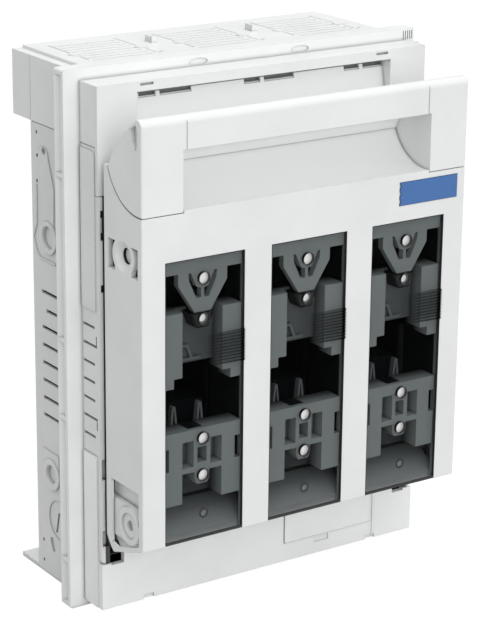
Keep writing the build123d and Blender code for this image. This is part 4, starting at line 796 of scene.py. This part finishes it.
for pole, pole_x in zip(POLE_NUMBERS, POLES):
    added(probe_contacts, f"probe_contacts_{pole}", probe_contact, "lid", "zinc_steel", pole_x)
    added(hole_shade_rings, f"hole_shade_rings_{pole}", latch_plastic, f"window_slide_{pole}",
          "latch_plastic", pole_x)
    added(opening_shadow_line, f"opening_shadow_line_{pole}", latch_plastic, "lid", "latch_plastic", pole_x)
    added(latch_painted_light, f"painted_light_and_shade_grey_{pole}", painted_light_and_shade_grey, "lid", "latch_plastic", pole_x)


# What shows at the top cover, in the finger recess and in the round catches of the lid

VENT_LEFT = -20.0
VENT_RIGHT = 18.2
VENT_DEPTHS = (14.5, 64.0)
VENT_FLOOR = (DECK_TOP - 0.9, DECK_TOP - 0.4)
SLOTS_LEFT = -10.6
SLOTS_RIGHT = 22.1
SLOT_BOTTOM = RECESS_TOP - 5.3
STRIP_TOP = RECESS_TOP - 4.4
SLOT_BACK = RECESS_WALL - 1.8
SLOT_PLATE = 0.3
# A line of painted shadow along the top of the finger recess
RECESS_SHADOW_LINE_HALF = RECESS_HALF - 0.5
RECESS_SHADOW_LINE_LOW = RECESS_TOP - 2.5
RECESS_SHADOW_LINE_HIGH = RECESS_TOP - 2.1
RECESS_SHADOW_LINE_BACK = RECESS_WALL - 0.4
CATCH_DEPTH = LID_FRONT - 18.5
CATCH_HEIGHT = WINDOW_TOP + 1.1
CATCH_RADIUS = 4.35
CATCH_INSIDE = lid_high.x - 6.5
CATCH_OUTSIDE = lid_high.x - 4.4


def vent_floor(mould):
    """Light floor under the slats of the top cover."""
    mould.box(VENT_LEFT, VENT_RIGHT, *VENT_FLOOR, *VENT_DEPTHS)


def slots_right(mould):
    """Right end of a pole's slots, which stop at the end of the recess."""
    return min(SLOTS_RIGHT, RECESS_HALF - mould.pole_x)


def recess_strip(mould):
    """Strip that narrows a pole's slots in the finger recess."""
    mould.box(SLOTS_LEFT, slots_right(mould), SLOT_BOTTOM, STRIP_TOP, SLOT_BACK, RECESS_WALL - SURFACE_LIFT)


def recess_shade_plate(mould):
    """Painted shade: a grey plate at the back of a pole's slots."""
    mould.box(SLOTS_LEFT, slots_right(mould), STRIP_TOP, RECESS_TOP, SLOT_BACK, SLOT_BACK + SLOT_PLATE)


def recess_shadow_line(mould):
    """Painted shadow: a fine line along the top of the finger recess."""
    mould.box(-RECESS_SHADOW_LINE_HALF, RECESS_SHADOW_LINE_HALF, RECESS_SHADOW_LINE_LOW, RECESS_SHADOW_LINE_HIGH, RECESS_SHADOW_LINE_BACK,
              RECESS_WALL + SURFACE_LIFT)


def catch_boss(side):
    """A mould with the boss of the left (-1) or right (1) catch."""
    mould = Mould()
    mould.bar(circle(CATCH_DEPTH, CATCH_HEIGHT, CATCH_RADIUS), side * CATCH_INSIDE, side * CATCH_OUTSIDE)
    return mould


for pole, pole_x in zip(POLE_NUMBERS, POLES):
    added(vent_floor, f"vent_floor_{pole}", top_plastic, "housing", "housing_plastic", pole_x)
    added(recess_strip, f"recess_strip_{pole}", cover_plastic, "housing", "housing_plastic", pole_x)
    added(recess_shade_plate, f"recess_shade_plate_{pole}", painted_light_and_shade_grey, "housing", "latch_plastic", pole_x)

added(recess_shadow_line, "recess_shadow_line", painted_light_and_shade_grey, "housing", "latch_plastic")

for side, side_name in ((-1, "left"), (1, "right")):
    catch_boss(side).made(f"catch_boss_{side_name}", lid_plastic, "lid", "housing_plastic")


# Floor and lights

GROUND_SIZE = 14
GROUND_GAP = 0.0002
GROUND_SEEN_SHARE = 0.93
GROUND_GLOW = 1.06
GROUND_MATT = 0.46
SKY_LEVEL = 0.20
SKY_SLOPE = (0.15, -0.12, 1.30)
SKY_FLOOR = 0.05
KEY_PLACE = (-0.3, -2.1, 0.4)
KEY_SIZE = 1.4
KEY_POWER = 16

low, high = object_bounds()
centre = (low + high) / 2


def white_ground():
    """A pale floor that shows white to the eye and still takes a soft shadow."""
    shader = Shader("ground")
    shader.tree.nodes.remove(shader.body)
    light = shader.add("ShaderNodeLightPath")
    seen = shader.add("ShaderNodeMath", operation="MAXIMUM")
    shader.link(light.outputs["Is Camera Ray"], seen.inputs[0])
    shader.link(light.outputs["Is Glossy Ray"], seen.inputs[1])
    seen_too = shader.add("ShaderNodeMath", operation="MAXIMUM")
    shader.link(seen.outputs["Value"], seen_too.inputs[0])
    shader.link(light.outputs["Is Transmission Ray"], seen_too.inputs[1])
    share = shader.add("ShaderNodeMath", operation="MULTIPLY")
    share.inputs[1].default_value = GROUND_SEEN_SHARE
    shader.link(seen_too.outputs["Value"], share.inputs[0])
    matt = shader.add("ShaderNodeBsdfDiffuse")
    matt.inputs["Color"].default_value = (GROUND_MATT, GROUND_MATT, GROUND_MATT, 1)
    glow = shader.add("ShaderNodeEmission")
    glow.inputs["Color"].default_value = (1, 1, 1, 1)
    glow.inputs["Strength"].default_value = GROUND_GLOW
    mix = shader.add("ShaderNodeMixShader")
    shader.link(share.outputs["Value"], mix.inputs["Fac"])
    shader.link(matt.outputs["BSDF"], mix.inputs[1])
    shader.link(glow.outputs["Emission"], mix.inputs[2])
    shader.link(mix.outputs["Shader"], shader.output.inputs["Surface"])
    return shader.material


def lay_ground():
    bpy.ops.mesh.primitive_plane_add(size=GROUND_SIZE, location=(0, 0, low.z - GROUND_GAP))
    ground = bpy.context.object
    ground.name = "ground"
    dress(ground, white_ground())


def white_room():
    """Light from all round: bright overhead, dimmer from the left and white where the camera
    sees it."""
    world = bpy.data.worlds.new("world")
    bpy.context.scene.world = world
    world.use_nodes = True
    tree = world.node_tree
    tree.nodes.clear()
    output = tree.nodes.new("ShaderNodeOutputWorld")
    direction = tree.nodes.new("ShaderNodeTexCoord")
    lean = tree.nodes.new("ShaderNodeVectorMath")
    lean.operation = "DOT_PRODUCT"
    lean.inputs[1].default_value = SKY_SLOPE
    tree.links.new(direction.outputs["Generated"], lean.inputs[0])
    level = tree.nodes.new("ShaderNodeMath")
    level.operation = "ADD"
    level.inputs[1].default_value = SKY_LEVEL
    tree.links.new(lean.outputs["Value"], level.inputs[0])
    least = tree.nodes.new("ShaderNodeMath")
    least.operation = "MAXIMUM"
    least.inputs[1].default_value = SKY_FLOOR
    tree.links.new(level.outputs["Value"], least.inputs[0])
    room = tree.nodes.new("ShaderNodeBackground")
    room.inputs["Color"].default_value = (1, 1, 1, 1)
    tree.links.new(least.outputs["Value"], room.inputs["Strength"])
    white = tree.nodes.new("ShaderNodeBackground")
    white.inputs["Color"].default_value = (1, 1, 1, 1)
    white.inputs["Strength"].default_value = 1.0
    path = tree.nodes.new("ShaderNodeLightPath")
    choose = tree.nodes.new("ShaderNodeMixShader")
    tree.links.new(path.outputs["Is Camera Ray"], choose.inputs["Fac"])
    tree.links.new(room.outputs["Background"], choose.inputs[1])
    tree.links.new(white.outputs["Background"], choose.inputs[2])
    tree.links.new(choose.outputs["Shader"], output.inputs["Surface"])


def softbox(name, place, size, power):
    """A square area lamp, placed from the middle of the object, which it faces."""
    data = bpy.data.lights.new(name, "AREA")
    data.shape = "SQUARE"
    data.size = size
    data.energy = power
    lamp = bpy.data.objects.new(name, data)
    bpy.context.scene.collection.objects.link(lamp)
    lamp.location = centre + Vector(place)
    lamp.rotation_euler = (-Vector(place)).to_track_quat("-Z", "Y").to_euler()


lay_ground()
white_room()
softbox("key", KEY_PLACE, KEY_SIZE, KEY_POWER)
